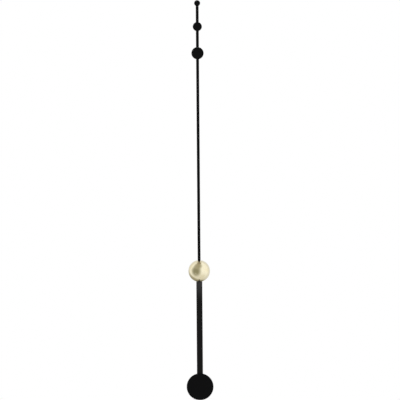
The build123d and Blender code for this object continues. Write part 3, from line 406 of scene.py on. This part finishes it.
def only(piece):
    bpy.ops.object.select_all(action="DESELECT")
    piece.select_set(True)
    bpy.context.view_layer.objects.active = piece


# Names the primitive that was just added and puts its place in its mesh
def added(name):
    piece = bpy.context.object
    piece.name = name
    piece.data.name = name
    bpy.ops.object.transform_apply()
    return piece


def openMesh(piece):
    only(piece)
    bpy.ops.object.mode_set(mode="EDIT")
    bpy.context.tool_settings.mesh_select_mode = (True, False, False)
    bpy.ops.mesh.select_all(action="SELECT")


def closeMesh():
    bpy.ops.object.mode_set(mode="OBJECT")


# Selects the vertices, in edit mode, that pass a test of their place
def pickPoints(piece, test):
    bpy.ops.mesh.select_all(action="DESELECT")
    mesh = bmesh.from_edit_mesh(piece.data)
    for point in mesh.verts:
        if test(point.co):
            point.select_set(True)
    mesh.select_flush_mode()
    bmesh.update_edit_mesh(piece.data)


def applied(piece, kind, settings):
    only(piece)
    modifier = piece.modifiers.new(kind.lower(), kind)
    for name, value in settings.items():
        setattr(modifier, name, value)
    bpy.ops.object.modifier_apply(modifier=modifier.name)


# Joins a tool to a piece or cuts it away, and throws the tool away
def combine(piece, tool, how):
    applied(piece, "BOOLEAN", {"operation": how, "object": tool, "solver": "EXACT"})
    bpy.data.objects.remove(tool)


# Merges what a boolean leaves doubled and, for a piece that gets a bevel, joins the faces of each flat
def tidyFaces(piece, joinFlats):
    openMesh(piece)
    bpy.ops.mesh.remove_doubles(threshold=modelling["mergeMm"] * mm)
    if joinFlats:
        bpy.ops.mesh.dissolve_limited(angle_limit=radians(modelling["flatDegrees"]))
    closeMesh()


# Breaks the sharp edges, then shades the curves smooth and keeps the flats flat
def finishEdges(piece, edgeMm=0, segments=2, smoothDegrees=modelling["smoothDegrees"]):
    tidyFaces(piece, edgeMm > 0)
    if edgeMm:
        applied(piece, "BEVEL", {"width": edgeMm * mm, "segments": segments, "limit_method": "ANGLE",
                                 "angle_limit": radians(smoothDegrees + modelling["bevelMarginDegrees"])})
    only(piece)
    bpy.ops.object.shade_smooth_by_angle(angle=radians(smoothDegrees))
    applied(piece, "WEIGHTED_NORMAL", {"mode": "FACE_AREA", "weight": modelling["flatWeight"],
                                       "keep_sharp": True})


# How far out of the wall a node's back and front are, in mm
def depths(node):
    low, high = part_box(node)
    return -high.y / mm, -low.y / mm


# Half a node's width and the height of its middle, in mm
def radiusAndHeight(node):
    low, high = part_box(node)
    return high.x / mm, (low.z + high.z) / 2 / mm


def bar(name, left, right, back, front, bottom, top):
    bpy.ops.object.select_all(action="DESELECT")
    middle = at((left + right) / 2, (back + front) / 2, (bottom + top) / 2)
    bpy.ops.mesh.primitive_cube_add(size=1, location=middle,
                                    scale=((right - left) * mm, (front - back) * mm, (top - bottom) * mm))
    return added(name)


def rod(name, radius, back, front, right=0, up=0, sides=96):
    bpy.ops.object.select_all(action="DESELECT")
    bpy.ops.mesh.primitive_cylinder_add(vertices=sides, radius=radius * mm, depth=(front - back) * mm,
                                        location=at(right, (back + front) / 2, up),
                                        rotation=(radians(90), 0, 0))
    return added(name)


# Cuts a straight hole through all that lies between two depths
def drill(piece, radius, back, front, right=0, up=0, sides=96):
    tool = rod("drill", radius, back - modelling["pastMm"], front + modelling["pastMm"], right, up, sides)
    combine(piece, tool, "DIFFERENCE")


# Turns a section about an axis that points out of the wall. The section is a list of radius and depth, drawn
# one vertex after another. Rounds tell which of its corners are rounded, and by how much
def turn(name, section, rounds=None, right=0, up=0, steps=96, closed=False):
    bpy.ops.object.select_all(action="DESELECT")
    bpy.ops.mesh.primitive_plane_add(size=mm)
    piece = added(name)
    openMesh(piece)
    bpy.ops.mesh.merge(type="CENTER")
    corners = [at(right + radius, depth, up) for radius, depth in section]
    if closed:
        corners.append(corners[0])
    bpy.ops.transform.translate(value=corners[0])
    for here, there in zip(corners, corners[1:]):
        bpy.ops.mesh.extrude_vertices_move(TRANSFORM_OT_translate={"value": there - here})
    bpy.ops.mesh.select_all(action="SELECT")
    bpy.ops.mesh.remove_doubles(threshold=modelling["turnMergeMm"] * mm)
    near = modelling["pickMm"] * mm
    for radius, which in (rounds or {}).items():
        wanted = [corners[i] for i in which]
        pickPoints(piece, lambda place: any((place - corner).length < near for corner in wanted))
        bpy.ops.mesh.bevel(offset=radius * mm, segments=modelling["roundSegments"], affect="VERTICES")
    bpy.ops.mesh.select_all(action="SELECT")
    bpy.ops.mesh.spin(steps=steps, angle=2 * pi, center=at(right, 0, up), axis=(0, 1, 0))
    bpy.ops.mesh.select_all(action="SELECT")
    bpy.ops.mesh.remove_doubles(threshold=modelling["turnMergeMm"] * mm)
    bpy.ops.mesh.normals_make_consistent(inside=False)
    closeMesh()
    return piece


# A disc as wide, as deep and as high up as a node, with both its rims rounded
def turnDisc(name, node, rimMm, steps=96):
    back, front = depths(node)
    radius, up = radiusAndHeight(node)
    return turn(name, [(0, back), (radius, back), (radius, front), (0, front)], rounds={rimMm: [1, 2]}, up=up,
                steps=steps)


# Puts a new piece in the place of a CAD node, on the node's body and with its finish
def standFor(piece, node, finish=None):
    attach(piece, bodyOf[node])
    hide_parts(node)
    piece.data.materials.clear()
    piece.data.materials.append(finish or finishes[slotOf[node]])
    return piece


# A copy of a piece, with its own mesh, moved and turned about its own axis
def copied(piece, name, shift, spinDegrees, centre):
    only(piece)
    bpy.ops.object.duplicate()
    twin = bpy.context.object
    twin.name = name
    twin.data.name = name
    openMesh(twin)
    bpy.ops.transform.rotate(value=radians(spinDegrees), orient_axis="Y", center_override=centre)
    bpy.ops.transform.translate(value=shift)
    closeMesh()
    return twin


# The dome and its housing
dome = {"around": 128, "rings": 96, "wallMm": 1.2, "rimMm": 0.3, "rimDegrees": 60, "smoothDegrees": 40}


def makeDome():
    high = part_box("dome_cap")[1]
    bpy.ops.object.select_all(action="DESELECT")
    bpy.ops.mesh.primitive_uv_sphere_add(segments=dome["around"], ring_count=dome["rings"], radius=high.x,
                                         location=(0, high.y, 0), rotation=(radians(90), 0, 0))
    piece = added("brassDome")
    openMesh(piece)
    bpy.ops.mesh.bisect(plane_co=(0, high.y, 0), plane_no=(0, 1, 0), clear_outer=True)
    closeMesh()
    applied(piece, "SOLIDIFY", {"thickness": dome["wallMm"] * mm, "offset": -1})
    applied(piece, "BEVEL", {"width": dome["rimMm"] * mm, "segments": 3, "limit_method": "ANGLE",
                             "angle_limit": radians(dome["rimDegrees"])})
    only(piece)
    bpy.ops.object.shade_smooth_by_angle(angle=radians(dome["smoothDegrees"]))
    standFor(piece, "dome_cap")


housing = {"wallMm": 1.2, "pocketRadiusMm": 8.5, "pocketFloorMm": (33.1, 34.3), "bushHoleRadiusMm": 3.52,
           "slotWidthMm": 21, "slotFrontMm": 8, "slotTopMm": -13.5, "frontRoundMm": 0.8, "rearRoundMm": 0.35,
           "edgeMm": 0.1}


def makeHousing():
    back, front = depths("housing")
    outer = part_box("housing")[1].x / mm
    inner = outer - housing["wallMm"]
    floorBack, floorFront = housing["pocketFloorMm"]
    pocket = housing["pocketRadiusMm"]
    hole = housing["bushHoleRadiusMm"]
    section = [(outer, back), (outer, front), (pocket, front), (pocket, floorFront), (hole, floorFront),
               (hole, floorBack), (pocket + housing["wallMm"], floorBack),
               (pocket + housing["wallMm"], front - housing["wallMm"]), (inner, front - housing["wallMm"]),
               (inner, back)]
    piece = turn("brassHousing", section, closed=True, steps=128,
                 rounds={housing["frontRoundMm"]: [1], housing["rearRoundMm"]: [0, 2, 9]})
    half = housing["slotWidthMm"] / 2
    past = modelling["pastMm"]
    slot = bar("slotTool", -half, half, back - past, housing["slotFrontMm"], -outer - past,
               housing["slotTopMm"])
    combine(piece, slot, "DIFFERENCE")
    finishEdges(piece, housing["edgeMm"])
    standFor(piece, "housing")


# The hands and their markers
hands = {"edgeMm": 0.12, "minuteRootMm": 22, "minuteHoleMm": 2.62, "weightScrewsMm": [(-9, -12), (9, -12)],
         "weightScrewHoleMm": 0.85, "hourRootMm": 12, "hourHoleMm": 3.42, "stripMm": 7.2}


def makeMinuteHand():
    back, front = depths("minute_hand")
    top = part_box("minute_hand")[1].z / mm
    half = hands["stripMm"] / 2
    piece = rod("minuteHandBlade", hands["minuteRootMm"], back, front, sides=128)
    combine(piece, bar("strip", -half, half, back, front, 0, top), "UNION")
    drill(piece, hands["minuteHoleMm"], back, front)
    for right, up in hands["weightScrewsMm"]:
        drill(piece, hands["weightScrewHoleMm"], back, front, right, up, sides=32)
    finishEdges(piece, hands["edgeMm"])
    standFor(piece, "minute_hand")


def makeHourHand():
    back, front = depths("hour_hand")
    half = hands["stripMm"] / 2
    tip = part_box("hour_hand")[1].z / mm - half
    piece = rod("hourHandBlade", hands["hourRootMm"], back, front)
    combine(piece, bar("strip", -half, half, back, front, 0, tip), "UNION")
    combine(piece, rod("tip", half, back, front, 0, tip), "UNION")
    finishEdges(piece, hands["edgeMm"])
    drill(piece, hands["hourHoleMm"], back, front)
    finishEdges(piece)
    standFor(piece, "hour_hand")


markers = {"names": {"small_marker": "smallDisc", "medium_marker": "mediumDisc", "large_marker": "largeDisc"},
           "rimMm": 0.2}


def makeMarkers():
    for node, name in markers["names"].items():
        piece = turnDisc(name, node, markers["rimMm"])
        finishEdges(piece)
        standFor(piece, node)


# The pendulum
pendulum = {"barEdgeMm": 0.35, "hangerHolesMm": [(-2, -6), (2, -6)], "hangerHoleMm": 0.62,
            "bobHolesMm": [(0, -276), (0, -296)], "bobHoleMm": 1.25, "bobBlindHoleMm": 1.22,
            "bobHoleDepthMm": 3.2, "bobRimMm": 0.45}


def makePendulum():
    back, front = depths("pendulum_bar")
    low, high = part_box("pendulum_bar")
    piece = bar("pendulumStrip", low.x / mm, high.x / mm, back, front, low.z / mm, high.z / mm)
    for points, radius in [(pendulum["hangerHolesMm"], pendulum["hangerHoleMm"]),
                           (pendulum["bobHolesMm"], pendulum["bobHoleMm"])]:
        for right, up in points:
            drill(piece, radius, back, front, right, up, sides=32)
    finishEdges(piece, pendulum["barEdgeMm"], segments=3)
    standFor(piece, "pendulum_bar", satinLacquer)

    back, front = depths("pendulum_bob")
    piece = turnDisc("bobDisc", "pendulum_bob", pendulum["bobRimMm"], steps=160)
    for right, up in pendulum["bobHolesMm"]:
        hole = rod("hole", pendulum["bobBlindHoleMm"], back - modelling["pastMm"],
                   back + pendulum["bobHoleDepthMm"], right, up, sides=32)
        combine(piece, hole, "DIFFERENCE")
    finishEdges(piece)
    standFor(piece, "pendulum_bob")


# Screws and studs
# Places on a circle about the hands' axis
def onCircle(radiusMm, degrees):
    return [(radiusMm * cos(radians(turned)), radiusMm * sin(radians(turned))) for turned in degrees]


# Each row: the depths of the head's top and seat and of the tip, and the radii of head and shank, all in mm, how
# many slots the head has and where the screws are. A head faces the wall where its top has the smaller depth.
# Two slots make a cross
screws = {
    "cover_screws": {"top": 7.9, "seat": 9, "tip": 14, "head": 1.8, "shank": 0.8, "slots": 1,
                     "points": onCircle(21.6, (90, 225, 315))},
    "board_screws": {"top": 15.7, "seat": 16.6, "tip": 21, "head": 1.5, "shank": 0.7, "slots": 2,
                     "points": [(-19, 1), (19, 1)]},
    "bridge_screws": {"top": 22.7, "seat": 23.6, "tip": 28, "head": 1.4, "shank": 0.8, "slots": 1,
                      "points": onCircle(22, (100, 200, 300))},
    "counterweight_screws": {"top": 40, "seat": 40.6, "tip": 46, "head": 1.6, "shank": 0.8, "slots": 1,
                             "points": [(-9, -12), (9, -12)]},
    "hanger_screws": {"top": 8.5, "seat": 7.8, "tip": 3.4, "head": 1.2, "shank": 0.6, "slots": 1,
                      "points": [(-2, -6), (2, -6)]},
    "bob_screws": {"top": 2, "seat": 3.4, "tip": 8.8, "head": 2.4, "shank": 1.2, "slots": 2,
                   "points": [(0, -276), (0, -296)]},
}
# Shares are of the head's radius or height, and the tip's is of the shank's radius
screwShape = {"topShare": 0.62, "crownShare": 0.45, "roundShare": 0.12, "tipShare": 0.6, "slotWidthShare": 0.28,
              "slotDepthShare": 0.5, "slotReachShare": 1.2, "crossReachShare": 0.57, "threadPitchMm": 0.45,
              "threadDepthMm": 0.12, "turnDegrees": (12, 64, -28), "steps": 40}


def makeScrews():
    shape = screwShape
    for node, row in screws.items():
        inward = 1 if row["tip"] > row["seat"] else -1
        tall = row["seat"] - row["top"]
        crown = row["top"] + tall * shape["crownShare"]
        section = [(0, row["top"]), (shape["topShare"] * row["head"], row["top"]), (row["head"], crown),
                   (row["head"], row["seat"]), (row["shank"], row["seat"])]
        for k in range(int(abs(row["tip"] - row["seat"]) / shape["threadPitchMm"]) - 1):
            crest = row["seat"] + inward * (k + 1) * shape["threadPitchMm"]
            section.append((row["shank"] - shape["threadDepthMm"], crest - inward * shape["threadPitchMm"] / 2))
            section.append((row["shank"], crest))
        section += [(shape["tipShare"] * row["shank"], row["tip"]), (0, row["tip"])]
        right, up = row["points"][0]
        name = node[:-1]
        piece = turn(name + "_1", section, right=right, up=up, steps=shape["steps"],
                     rounds={shape["roundShare"] * row["head"]: [1, 2]})
        width = shape["slotWidthShare"] * row["head"]
        floor = row["top"] + tall * shape["slotDepthShare"]
        shallow, deep = sorted((row["top"] - inward * modelling["pastMm"], floor))
        reach = row["head"] * shape["slotReachShare" if row["slots"] == 1 else "crossReachShare"]
        for k in range(row["slots"]):
            across, along = (reach, width / 2) if k == 0 else (width / 2, reach)
            slot = bar("slotTool", right - across, right + across, shallow, deep, up - along, up + along)
            combine(piece, slot, "DIFFERENCE")
        finishEdges(piece)
        centre = at(right, 0, up)
        openMesh(piece)
        bpy.ops.transform.rotate(value=radians(shape["turnDegrees"][0]), orient_axis="Y",
                                 center_override=centre)
        closeMesh()
        for k, place in enumerate(row["points"][1:], 1):
            shift = at(place[0], 0, place[1]) - centre
            twin = copied(piece, f"{name}_{k + 1}", shift, shape["turnDegrees"][k], centre)
            standFor(twin, node)
        standFor(piece, node)


wallPlate = {"screwsMm": [(-11, 0), (11, 0)], "holeMm": 2.2, "sinkMm": 3.4, "studsMm": [(-18, 1), (18, 1)],
             "tailHoleMm": 1.42, "rimMm": 0.3, "edgeMm": 0.08}


def makeWallPlate():
    back, front = depths("wall_plate")
    piece = turnDisc("wallPlateDisc", "wall_plate", wallPlate["rimMm"], steps=128)
    tidyFaces(piece, True)
    hole, sink, past = wallPlate["holeMm"], wallPlate["sinkMm"], modelling["pastMm"]
    section = [(0, back - past), (hole, back - past), (hole, front - (sink - hole)),
               (sink + past, front + past), (0, front + past)]
    for right, up in wallPlate["screwsMm"]:
        combine(piece, turn("sinkTool", section, right=right, up=up, steps=64), "DIFFERENCE")
    for right, up in wallPlate["studsMm"]:
        drill(piece, wallPlate["tailHoleMm"], back, front, right, up, sides=48)
    finishEdges(piece, wallPlate["edgeMm"])
    standFor(piece, "wall_plate")


studs = {"tailBackMm": 0.3, "tailMm": 1.4, "shoulderBackMm": 2, "shoulderMm": 2.4, "neckBackMm": 9,
         "neckMm": 1.2, "headBackMm": 10.7, "headMm": 2.3, "headFrontMm": 11.9, "roundMm": 0.25}


def makeStuds():
    s = studs
    section = [(0, s["tailBackMm"]), (s["tailMm"], s["tailBackMm"]), (s["tailMm"], s["shoulderBackMm"]),
               (s["shoulderMm"], s["shoulderBackMm"]), (s["shoulderMm"], s["neckBackMm"]),
               (s["neckMm"], s["neckBackMm"]), (s["neckMm"], s["headBackMm"]), (s["headMm"], s["headBackMm"]),
               (s["headMm"], s["headFrontMm"]), (0, s["headFrontMm"])]
    right, up = wallPlate["studsMm"][0]
    piece = turn("wallStud_1", section, right=right, up=up, steps=64, rounds={s["roundMm"]: [1, 4, 7, 8]})
    finishEdges(piece)
    place = wallPlate["studsMm"][1]
    twin = copied(piece, "wallStud_2", at(place[0] - right, 0, place[1] - up), 0, at(right, 0, up))
    standFor(twin, "wall_studs")
    standFor(piece, "wall_studs")


# The clamp in front of the movement, and the pendulum's pivot
nut = {"flatMm": 5.5, "boreMm": 3.52, "edgeMm": 0.06, "chamferShare": 0.6, "chamferPastMm": 0.01,
       "cornerPastMm": 0.1}


# A six-sided blank whose corners are turned off at both ends
def makeNut():
    back, front = depths("hex_nut")
    corner = nut["flatMm"] / cos(radians(30))
    piece = rod("hexNutBody", corner, back, front, sides=6)
    openMesh(piece)
    bpy.ops.transform.rotate(value=radians(30), orient_axis="Y", center_override=(0, 0, 0))
    closeMesh()
    drop = (corner - nut["flatMm"]) * nut["chamferShare"]
    wide = corner + nut["cornerPastMm"]
    past = nut["chamferPastMm"]
    section = [(0, back - past), (nut["flatMm"], back - past), (wide, back + drop), (wide, front - drop),
               (nut["flatMm"], front + past), (0, front + past)]
    combine(piece, turn("nutBlank", section), "INTERSECT")
    drill(piece, nut["boreMm"], back, front)
    finishEdges(piece, nut["edgeMm"])
    standFor(piece, "hex_nut")


washers = {"brass_washer": {"name": "brassWasherRing", "radiusMm": 6.8, "boreMm": 3.52, "roundMm": 0.1},
           "rubber_washer": {"name": "rubberWasherRing", "radiusMm": 8, "boreMm": 3.52, "roundMm": 0.15}}


def makeWashers():
    for node, ring in washers.items():
        back, front = depths(node)
        section = [(ring["boreMm"], back), (ring["radiusMm"], back), (ring["radiusMm"], front),
                   (ring["boreMm"], front)]
        piece = turn(ring["name"], section, closed=True, rounds={ring["roundMm"]: [0, 1, 2, 3]})
        finishEdges(piece)
        standFor(piece, node)


bushing = {"backMm": 31, "flangeMm": (32, 32.5), "frontMm": 37, "boreMm": 2.55, "bodyMm": 3.5,
           "flangeRadiusMm": 6, "threadPitchMm": 0.5, "threadDepthMm": 0.2, "plainEndMm": 0.2, "chamferMm": 0.4}


def makeBushing():
    bore, body, pitch = bushing["boreMm"], bushing["bodyMm"], bushing["threadPitchMm"]
    flangeBack, flangeFront = bushing["flangeMm"]
    section = [(bore, bushing["backMm"]), (body, bushing["backMm"]), (body, flangeBack),
               (bushing["flangeRadiusMm"], flangeBack), (bushing["flangeRadiusMm"], flangeFront)]
    crest = flangeFront
    while crest + pitch < bushing["frontMm"] - bushing["plainEndMm"]:
        section.append((body - bushing["threadDepthMm"], crest + pitch / 2))
        crest += pitch
        section.append((body, crest))
    section += [(body - bushing["chamferMm"], bushing["frontMm"]), (bore, bushing["frontMm"])]
    piece = turn("threadedBushing", section, closed=True, steps=72)
    finishEdges(piece)
    standFor(piece, "threaded_bushing")


pivot = {"headMm": (2.3, 2.9), "frontMm": 10.4, "headRadiusMm": 1.6, "pinMm": 0.8, "roundMm": 0.2}


def makePivot():
    headBack, headFront = pivot["headMm"]
    section = [(0, headBack), (pivot["headRadiusMm"], headBack), (pivot["headRadiusMm"], headFront),
               (pivot["pinMm"], headFront), (pivot["pinMm"], pivot["frontMm"]), (0, pivot["frontMm"])]
    piece = turn("pivotPin", section, rounds={pivot["roundMm"]: [1, 4]}, steps=48)
    finishEdges(piece)
    standFor(piece, "pendulum_pivot")


# The cell and the drive coil
# At each end the film folds in over the shoulder, and the steel steps up to the cap
cell = {"radiusMm": 6, "lengthMm": 30.2, "upMm": 11.3, "depthMm": 17, "nubMm": 2.4, "nubLengthMm": 0.7,
        "capMm": 4.6, "filmMm": 0.15, "roundMm": 0.2, "minusCapMm": 0.25, "minusLipMm": 0.35,
        "minusFoldMm": 0.6, "plusFoldMm": 0.5, "plusLipMm": 0.25, "plusCapMm": 0.2, "plusChamferMm": 0.3,
        "bareInsetMm": 0.1}


def makeCell():
    half = cell["lengthMm"] / 2
    shoulder = half - cell["nubLengthMm"]
    cap, film, nub = cell["capMm"], cell["radiusMm"], cell["nubMm"]
    steel = film - cell["filmMm"]
    section = [(0, -half), (cap, -half), (cap, cell["minusCapMm"] - half), (steel, cell["minusLipMm"] - half),
               (film, cell["minusFoldMm"] - half), (film, shoulder - cell["plusFoldMm"]),
               (steel, shoulder - cell["plusLipMm"]), (cap, shoulder - cell["plusCapMm"]),
               (cap - cell["plusChamferMm"], shoulder), (nub, shoulder), (nub, half), (0, half)]
    piece = turn("alkalineCell", section, rounds={cell["roundMm"]: [1, 8, 10]}, steps=72)
    axis = at(0, cell["depthMm"], cell["upMm"])
    openMesh(piece)
    bpy.ops.transform.rotate(value=radians(90), orient_axis="Z", center_override=(0, 0, 0))
    bpy.ops.transform.translate(value=axis)
    closeMesh()
    finishEdges(piece)
    standFor(piece, "battery_cell")
    piece.data.materials.append(finishes["plain_steel"])
    inset = cell["bareInsetMm"]
    for face in piece.data.polygons:  # the faces that the film doesn't cover are bare steel
        middle = face.center - axis
        away = Vector((0, middle.y, middle.z)).length
        if away < (steel - inset) * mm or abs(middle.x) > (shoulder - inset) * mm:
            face.material_index = 1


coil = {"wireMm": 0.3, "ridgeMm": 0.1, "crownShare": (0.3, 0.7), "upMm": -13.5, "flangeMm": 6.5, "windingMm": 6,
        "coreMm": 2, "flangeThickMm": 0.6, "flangeRoundMm": 0.15, "smoothDegrees": 60, "steps": 72}


def makeDriveCoil():
    back, front = depths("drive_bobbin")
    start = back + coil["flangeThickMm"]
    end = front - coil["flangeThickMm"]
    flange, core, winding = coil["flangeMm"], coil["coreMm"], coil["windingMm"]
    section = [(0, back), (flange, back), (flange, start), (core, start), (core, end), (flange, end),
               (flange, front), (0, front)]
    piece = turn("driveBobbin", section, rounds={coil["flangeRoundMm"]: [1, 2, 5, 6]}, up=coil["upMm"],
                 steps=coil["steps"])
    finishEdges(piece)
    standFor(piece, "drive_bobbin")

    turns = round((end - start) / coil["wireMm"])
    wire = (end - start) / turns
    section = [(core, start)]
    for k in range(turns):  # each turn is a low ridge with a flat crown
        edge = start + k * wire
        section.append((winding - coil["ridgeMm"], edge))
        section += [(winding, edge + share * wire) for share in coil["crownShare"]]
    section += [(winding - coil["ridgeMm"], end), (core, end)]
    piece = turn("driveWinding", section, closed=True, up=coil["upMm"], steps=coil["steps"])
    finishEdges(piece, smoothDegrees=coil["smoothDegrees"])
    standFor(piece, "drive_winding")


# Moulded and pressed pieces: copies of the CAD shapes with their edges broken
# Node name to edge width in mm
edged = {
    "back_cover": 0.15, "movement_case": 0.15, "battery_tray": 0.1, "circuit_board": 0.06, "control_chip": 0.15,
    "motor_cradle": 0.1, "stator_plate": 0.05, "train_bridge": 0.08, "motor_bobbin": 0.05,
    "setting_knob": 0.12, "hour_collet": 0.1, "hour_counterweight": 0.1, "minute_collet": 0.1,
    "dome_boss": 0.15, "minute_counterweight": 0.2, "pendulum_hanger": 0.12, "pendulum_magnet": 0.15,
    "rotor_magnet": 0.08, "clutch_spring": 0.03, "quartz_crystal": 0.15, "battery_contact_plus": 0.04,
    "battery_contact_minus": 0.04,
}


def makeEdged():
    for node, width in edged.items():
        only(frame["nodes"][node])
        bpy.ops.object.duplicate()
        piece = bpy.context.object
        piece.parent = None
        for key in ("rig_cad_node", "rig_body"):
            del piece[key]
        piece.name = node + "_edged"
        piece.data.name = piece.name
        finishEdges(piece, width)
        standFor(piece, node)


makeDome()
makeHousing()
print("dome and housing made")
makeMinuteHand()
makeHourHand()
makeMarkers()
print("hands and markers made")
makePendulum()
makeScrews()
makeWallPlate()
makeStuds()
makeNut()
makeWashers()
makeBushing()
makePivot()
print("pendulum, screws, plate and clamp made")
makeCell()
makeDriveCoil()
makeEdged()
print("cell, coil and moulded pieces made")

# The wheels and shafts keep their CAD meshes and get the finishes of their slots
for node, piece in frame["nodes"].items():
    for place in piece.material_slots:
        place.material = finishes[slotOf[node]]


# Studio
# The room's tone turns to low over lowFade, where -1 is straight down and 0 is level, and is dimmed by rear
# over rearFade, where 0 is beside the clock and 1 is straight behind it
studio = {
    "backdrop": "ffffff", "room": "ffffff", "low": "dddbd6", "lowFade": (-1.2, 0), "rear": "e8e7e5",
    "rearFade": (0.05, 0.6), "roomGlow": 1.0, "floorUpMm": -760, "floorRadiusMm": 2600, "floorSolidMm": 300,
    "floorColour": "f4f3f0",
}
# What hangs and stands about the room for the polished brass to mirror: soft dark cloths, a stand and a paler
# card. Each has the place of its middle, in degrees right of and above the camera's line, then the angles out
# to the end of its full tone and to its faded edge, and its colour
cloths = {
    "besideCamera": {"turn": -35, "rise": 0, "core": 10, "edge": 70, "colour": "92907d"},
    "aboveCamera": {"turn": -20, "rise": 55, "core": 5, "edge": 50, "colour": "a8a493"},
    "overhead": {"turn": 0, "rise": 90, "core": 10, "edge": 20, "colour": "998f7d"},
    "behindTop": {"turn": 180, "rise": 65, "core": 0, "edge": 20, "colour": "b6b09c"},
    "lowLeft": {"turn": -155, "rise": -40, "core": 10, "edge": 50, "colour": "a19d8c"},
    "lowStand": {"turn": 180, "rise": -40, "core": 5, "edge": 20, "colour": "5c5847"},
    "paleCard": {"turn": -40, "rise": -25, "core": 5, "edge": 10, "colour": "b2b0a2"},
}


# A way out of the clock, told in degrees right of and above the camera's line
def wayTo(turnDegrees, riseDegrees):
    turned = radians(turnDegrees)
    risen = radians(riseDegrees)
    return Vector((sin(turned) * cos(risen), -cos(turned) * cos(risen), sin(risen)))


# A pale room, greyer towards the floor and the wall, with its cloths. The camera itself sees a white backdrop
def makeRoom():
    world = bpy.data.worlds.new("paleStudio")
    bpy.context.scene.world = world
    world.use_nodes = True
    tree = world.node_tree
    tree.nodes.clear()
    way = addNode(tree, "ShaderNodeTexCoord").outputs["Generated"]
    parts = addNode(tree, "ShaderNodeSeparateXYZ", links={"Vector": way})
    rise = addNode(tree, "ShaderNodeMapRange",
                   {"interpolation_type": "SMOOTHSTEP", "From Min": studio["lowFade"][0],
                    "From Max": studio["lowFade"][1]}, {"Value": parts.outputs["Z"]})
    walls = addNode(tree, "ShaderNodeMix", {"data_type": "RGBA", 6: linear(studio["low"]),
                                            7: linear(studio["room"])}, {0: rise.outputs[0]})
    depth = addNode(tree, "ShaderNodeMapRange",
                    {"interpolation_type": "SMOOTHSTEP", "From Min": studio["rearFade"][0],
                     "From Max": studio["rearFade"][1]}, {"Value": parts.outputs["Y"]})
    room = addNode(tree, "ShaderNodeMix",
                   {"data_type": "RGBA", "blend_type": "MULTIPLY", 7: linear(studio["rear"])},
                   {0: depth.outputs[0], 6: walls.outputs[2]})
    for cloth in cloths.values():
        near = addNode(tree, "ShaderNodeVectorMath",
                       {"operation": "DOT_PRODUCT", 1: wayTo(cloth["turn"], cloth["rise"])}, {0: way})
        shade = addNode(tree, "ShaderNodeMapRange",
                        {"interpolation_type": "SMOOTHSTEP", "From Min": cos(radians(cloth["edge"])),
                         "From Max": cos(radians(cloth["core"]))}, {"Value": near.outputs["Value"]})
        room = addNode(tree, "ShaderNodeMix", {"data_type": "RGBA", 7: linear(cloth["colour"])},
                       {0: shade.outputs[0], 6: room.outputs[2]})
    light = addNode(tree, "ShaderNodeBackground", {"Strength": studio["roomGlow"]}, {"Color": room.outputs[2]})
    paper = addNode(tree, "ShaderNodeBackground", {"Color": linear(studio["backdrop"]), "Strength": 1})
    seen = addNode(tree, "ShaderNodeLightPath")
    mix = addNode(tree, "ShaderNodeMixShader", links={0: seen.outputs["Is Camera Ray"], 1: light.outputs[0],
                                                      2: paper.outputs[0]})
    addNode(tree, "ShaderNodeOutputWorld", links={"Surface": mix.outputs[0]})


# A round pale floor that fades into the backdrop at its rim and can be seen through from below
def makeFloor():
    bpy.ops.object.select_all(action="DESELECT")
    bpy.ops.mesh.primitive_circle_add(vertices=96, radius=studio["floorRadiusMm"] * mm, fill_type="NGON",
                                      location=(0, 0, studio["floorUpMm"] * mm))
    floor = added("studioFloor")
    material = bpy.data.materials.new("palePaperFloor")
    material.use_nodes = True
    tree = material.node_tree
    tree.nodes.clear()
    place = addNode(tree, "ShaderNodeTexCoord").outputs["Object"]
    flat = addNode(tree, "ShaderNodeVectorMath", {"operation": "MULTIPLY", 1: (1, 1, 0)}, {0: place})
    away = addNode(tree, "ShaderNodeVectorMath", {"operation": "LENGTH"}, {0: flat.outputs[0]})
    fade = addNode(tree, "ShaderNodeMapRange",
                   {"interpolation_type": "SMOOTHSTEP", "From Min": studio["floorSolidMm"] * mm,
                    "From Max": studio["floorRadiusMm"] * mm}, {"Value": away.outputs["Value"]})
    paper = addNode(tree, "ShaderNodeBsdfDiffuse", {"Color": linear(studio["floorColour"])})
    clear = addNode(tree, "ShaderNodeBsdfTransparent")
    soft = addNode(tree, "ShaderNodeMixShader", links={0: fade.outputs[0], 1: paper.outputs[0],
                                                       2: clear.outputs[0]})
    side = addNode(tree, "ShaderNodeNewGeometry")
    top = addNode(tree, "ShaderNodeMixShader", links={0: side.outputs["Backfacing"], 1: soft.outputs[0],
                                                      2: clear.outputs[0]})
    addNode(tree, "ShaderNodeOutputMaterial", links={"Surface": top.outputs[0]})
    floor.data.materials.append(material)
    floor.visible_glossy = False  # the brass mirrors the room's own low tone, which is softer


# Soft boxes: where each hangs, as degrees right of and above the camera's line, and how bright it is
boxes = {"keyBox": {"turn": 55, "rise": 35, "awayM": 2.5, "sizeM": 1.6, "glow": 0.9},
         "fillBox": {"turn": -75, "rise": 20, "awayM": 2.5, "sizeM": 1.6, "glow": 0.5}}


def makeBoxes():
    middle = (cadLow + cadHigh) / 2
    for name, box in boxes.items():
        way = wayTo(box["turn"], box["rise"])
        bpy.ops.object.light_add(type="AREA", location=middle + way * box["awayM"])
        lamp = bpy.context.object
        lamp.name = name
        lamp.rotation_euler = way.to_track_quat("Z", "Y").to_euler()
        lamp.data.size = box["sizeM"]
        lamp.data.energy = box["glow"] * pi * box["sizeM"] ** 2
        lamp.visible_camera = False
        lamp.visible_glossy = False  # so that it lights the clock without a hard patch on the brass


makeRoom()
makeFloor()
makeBoxes()
print("studio lit")
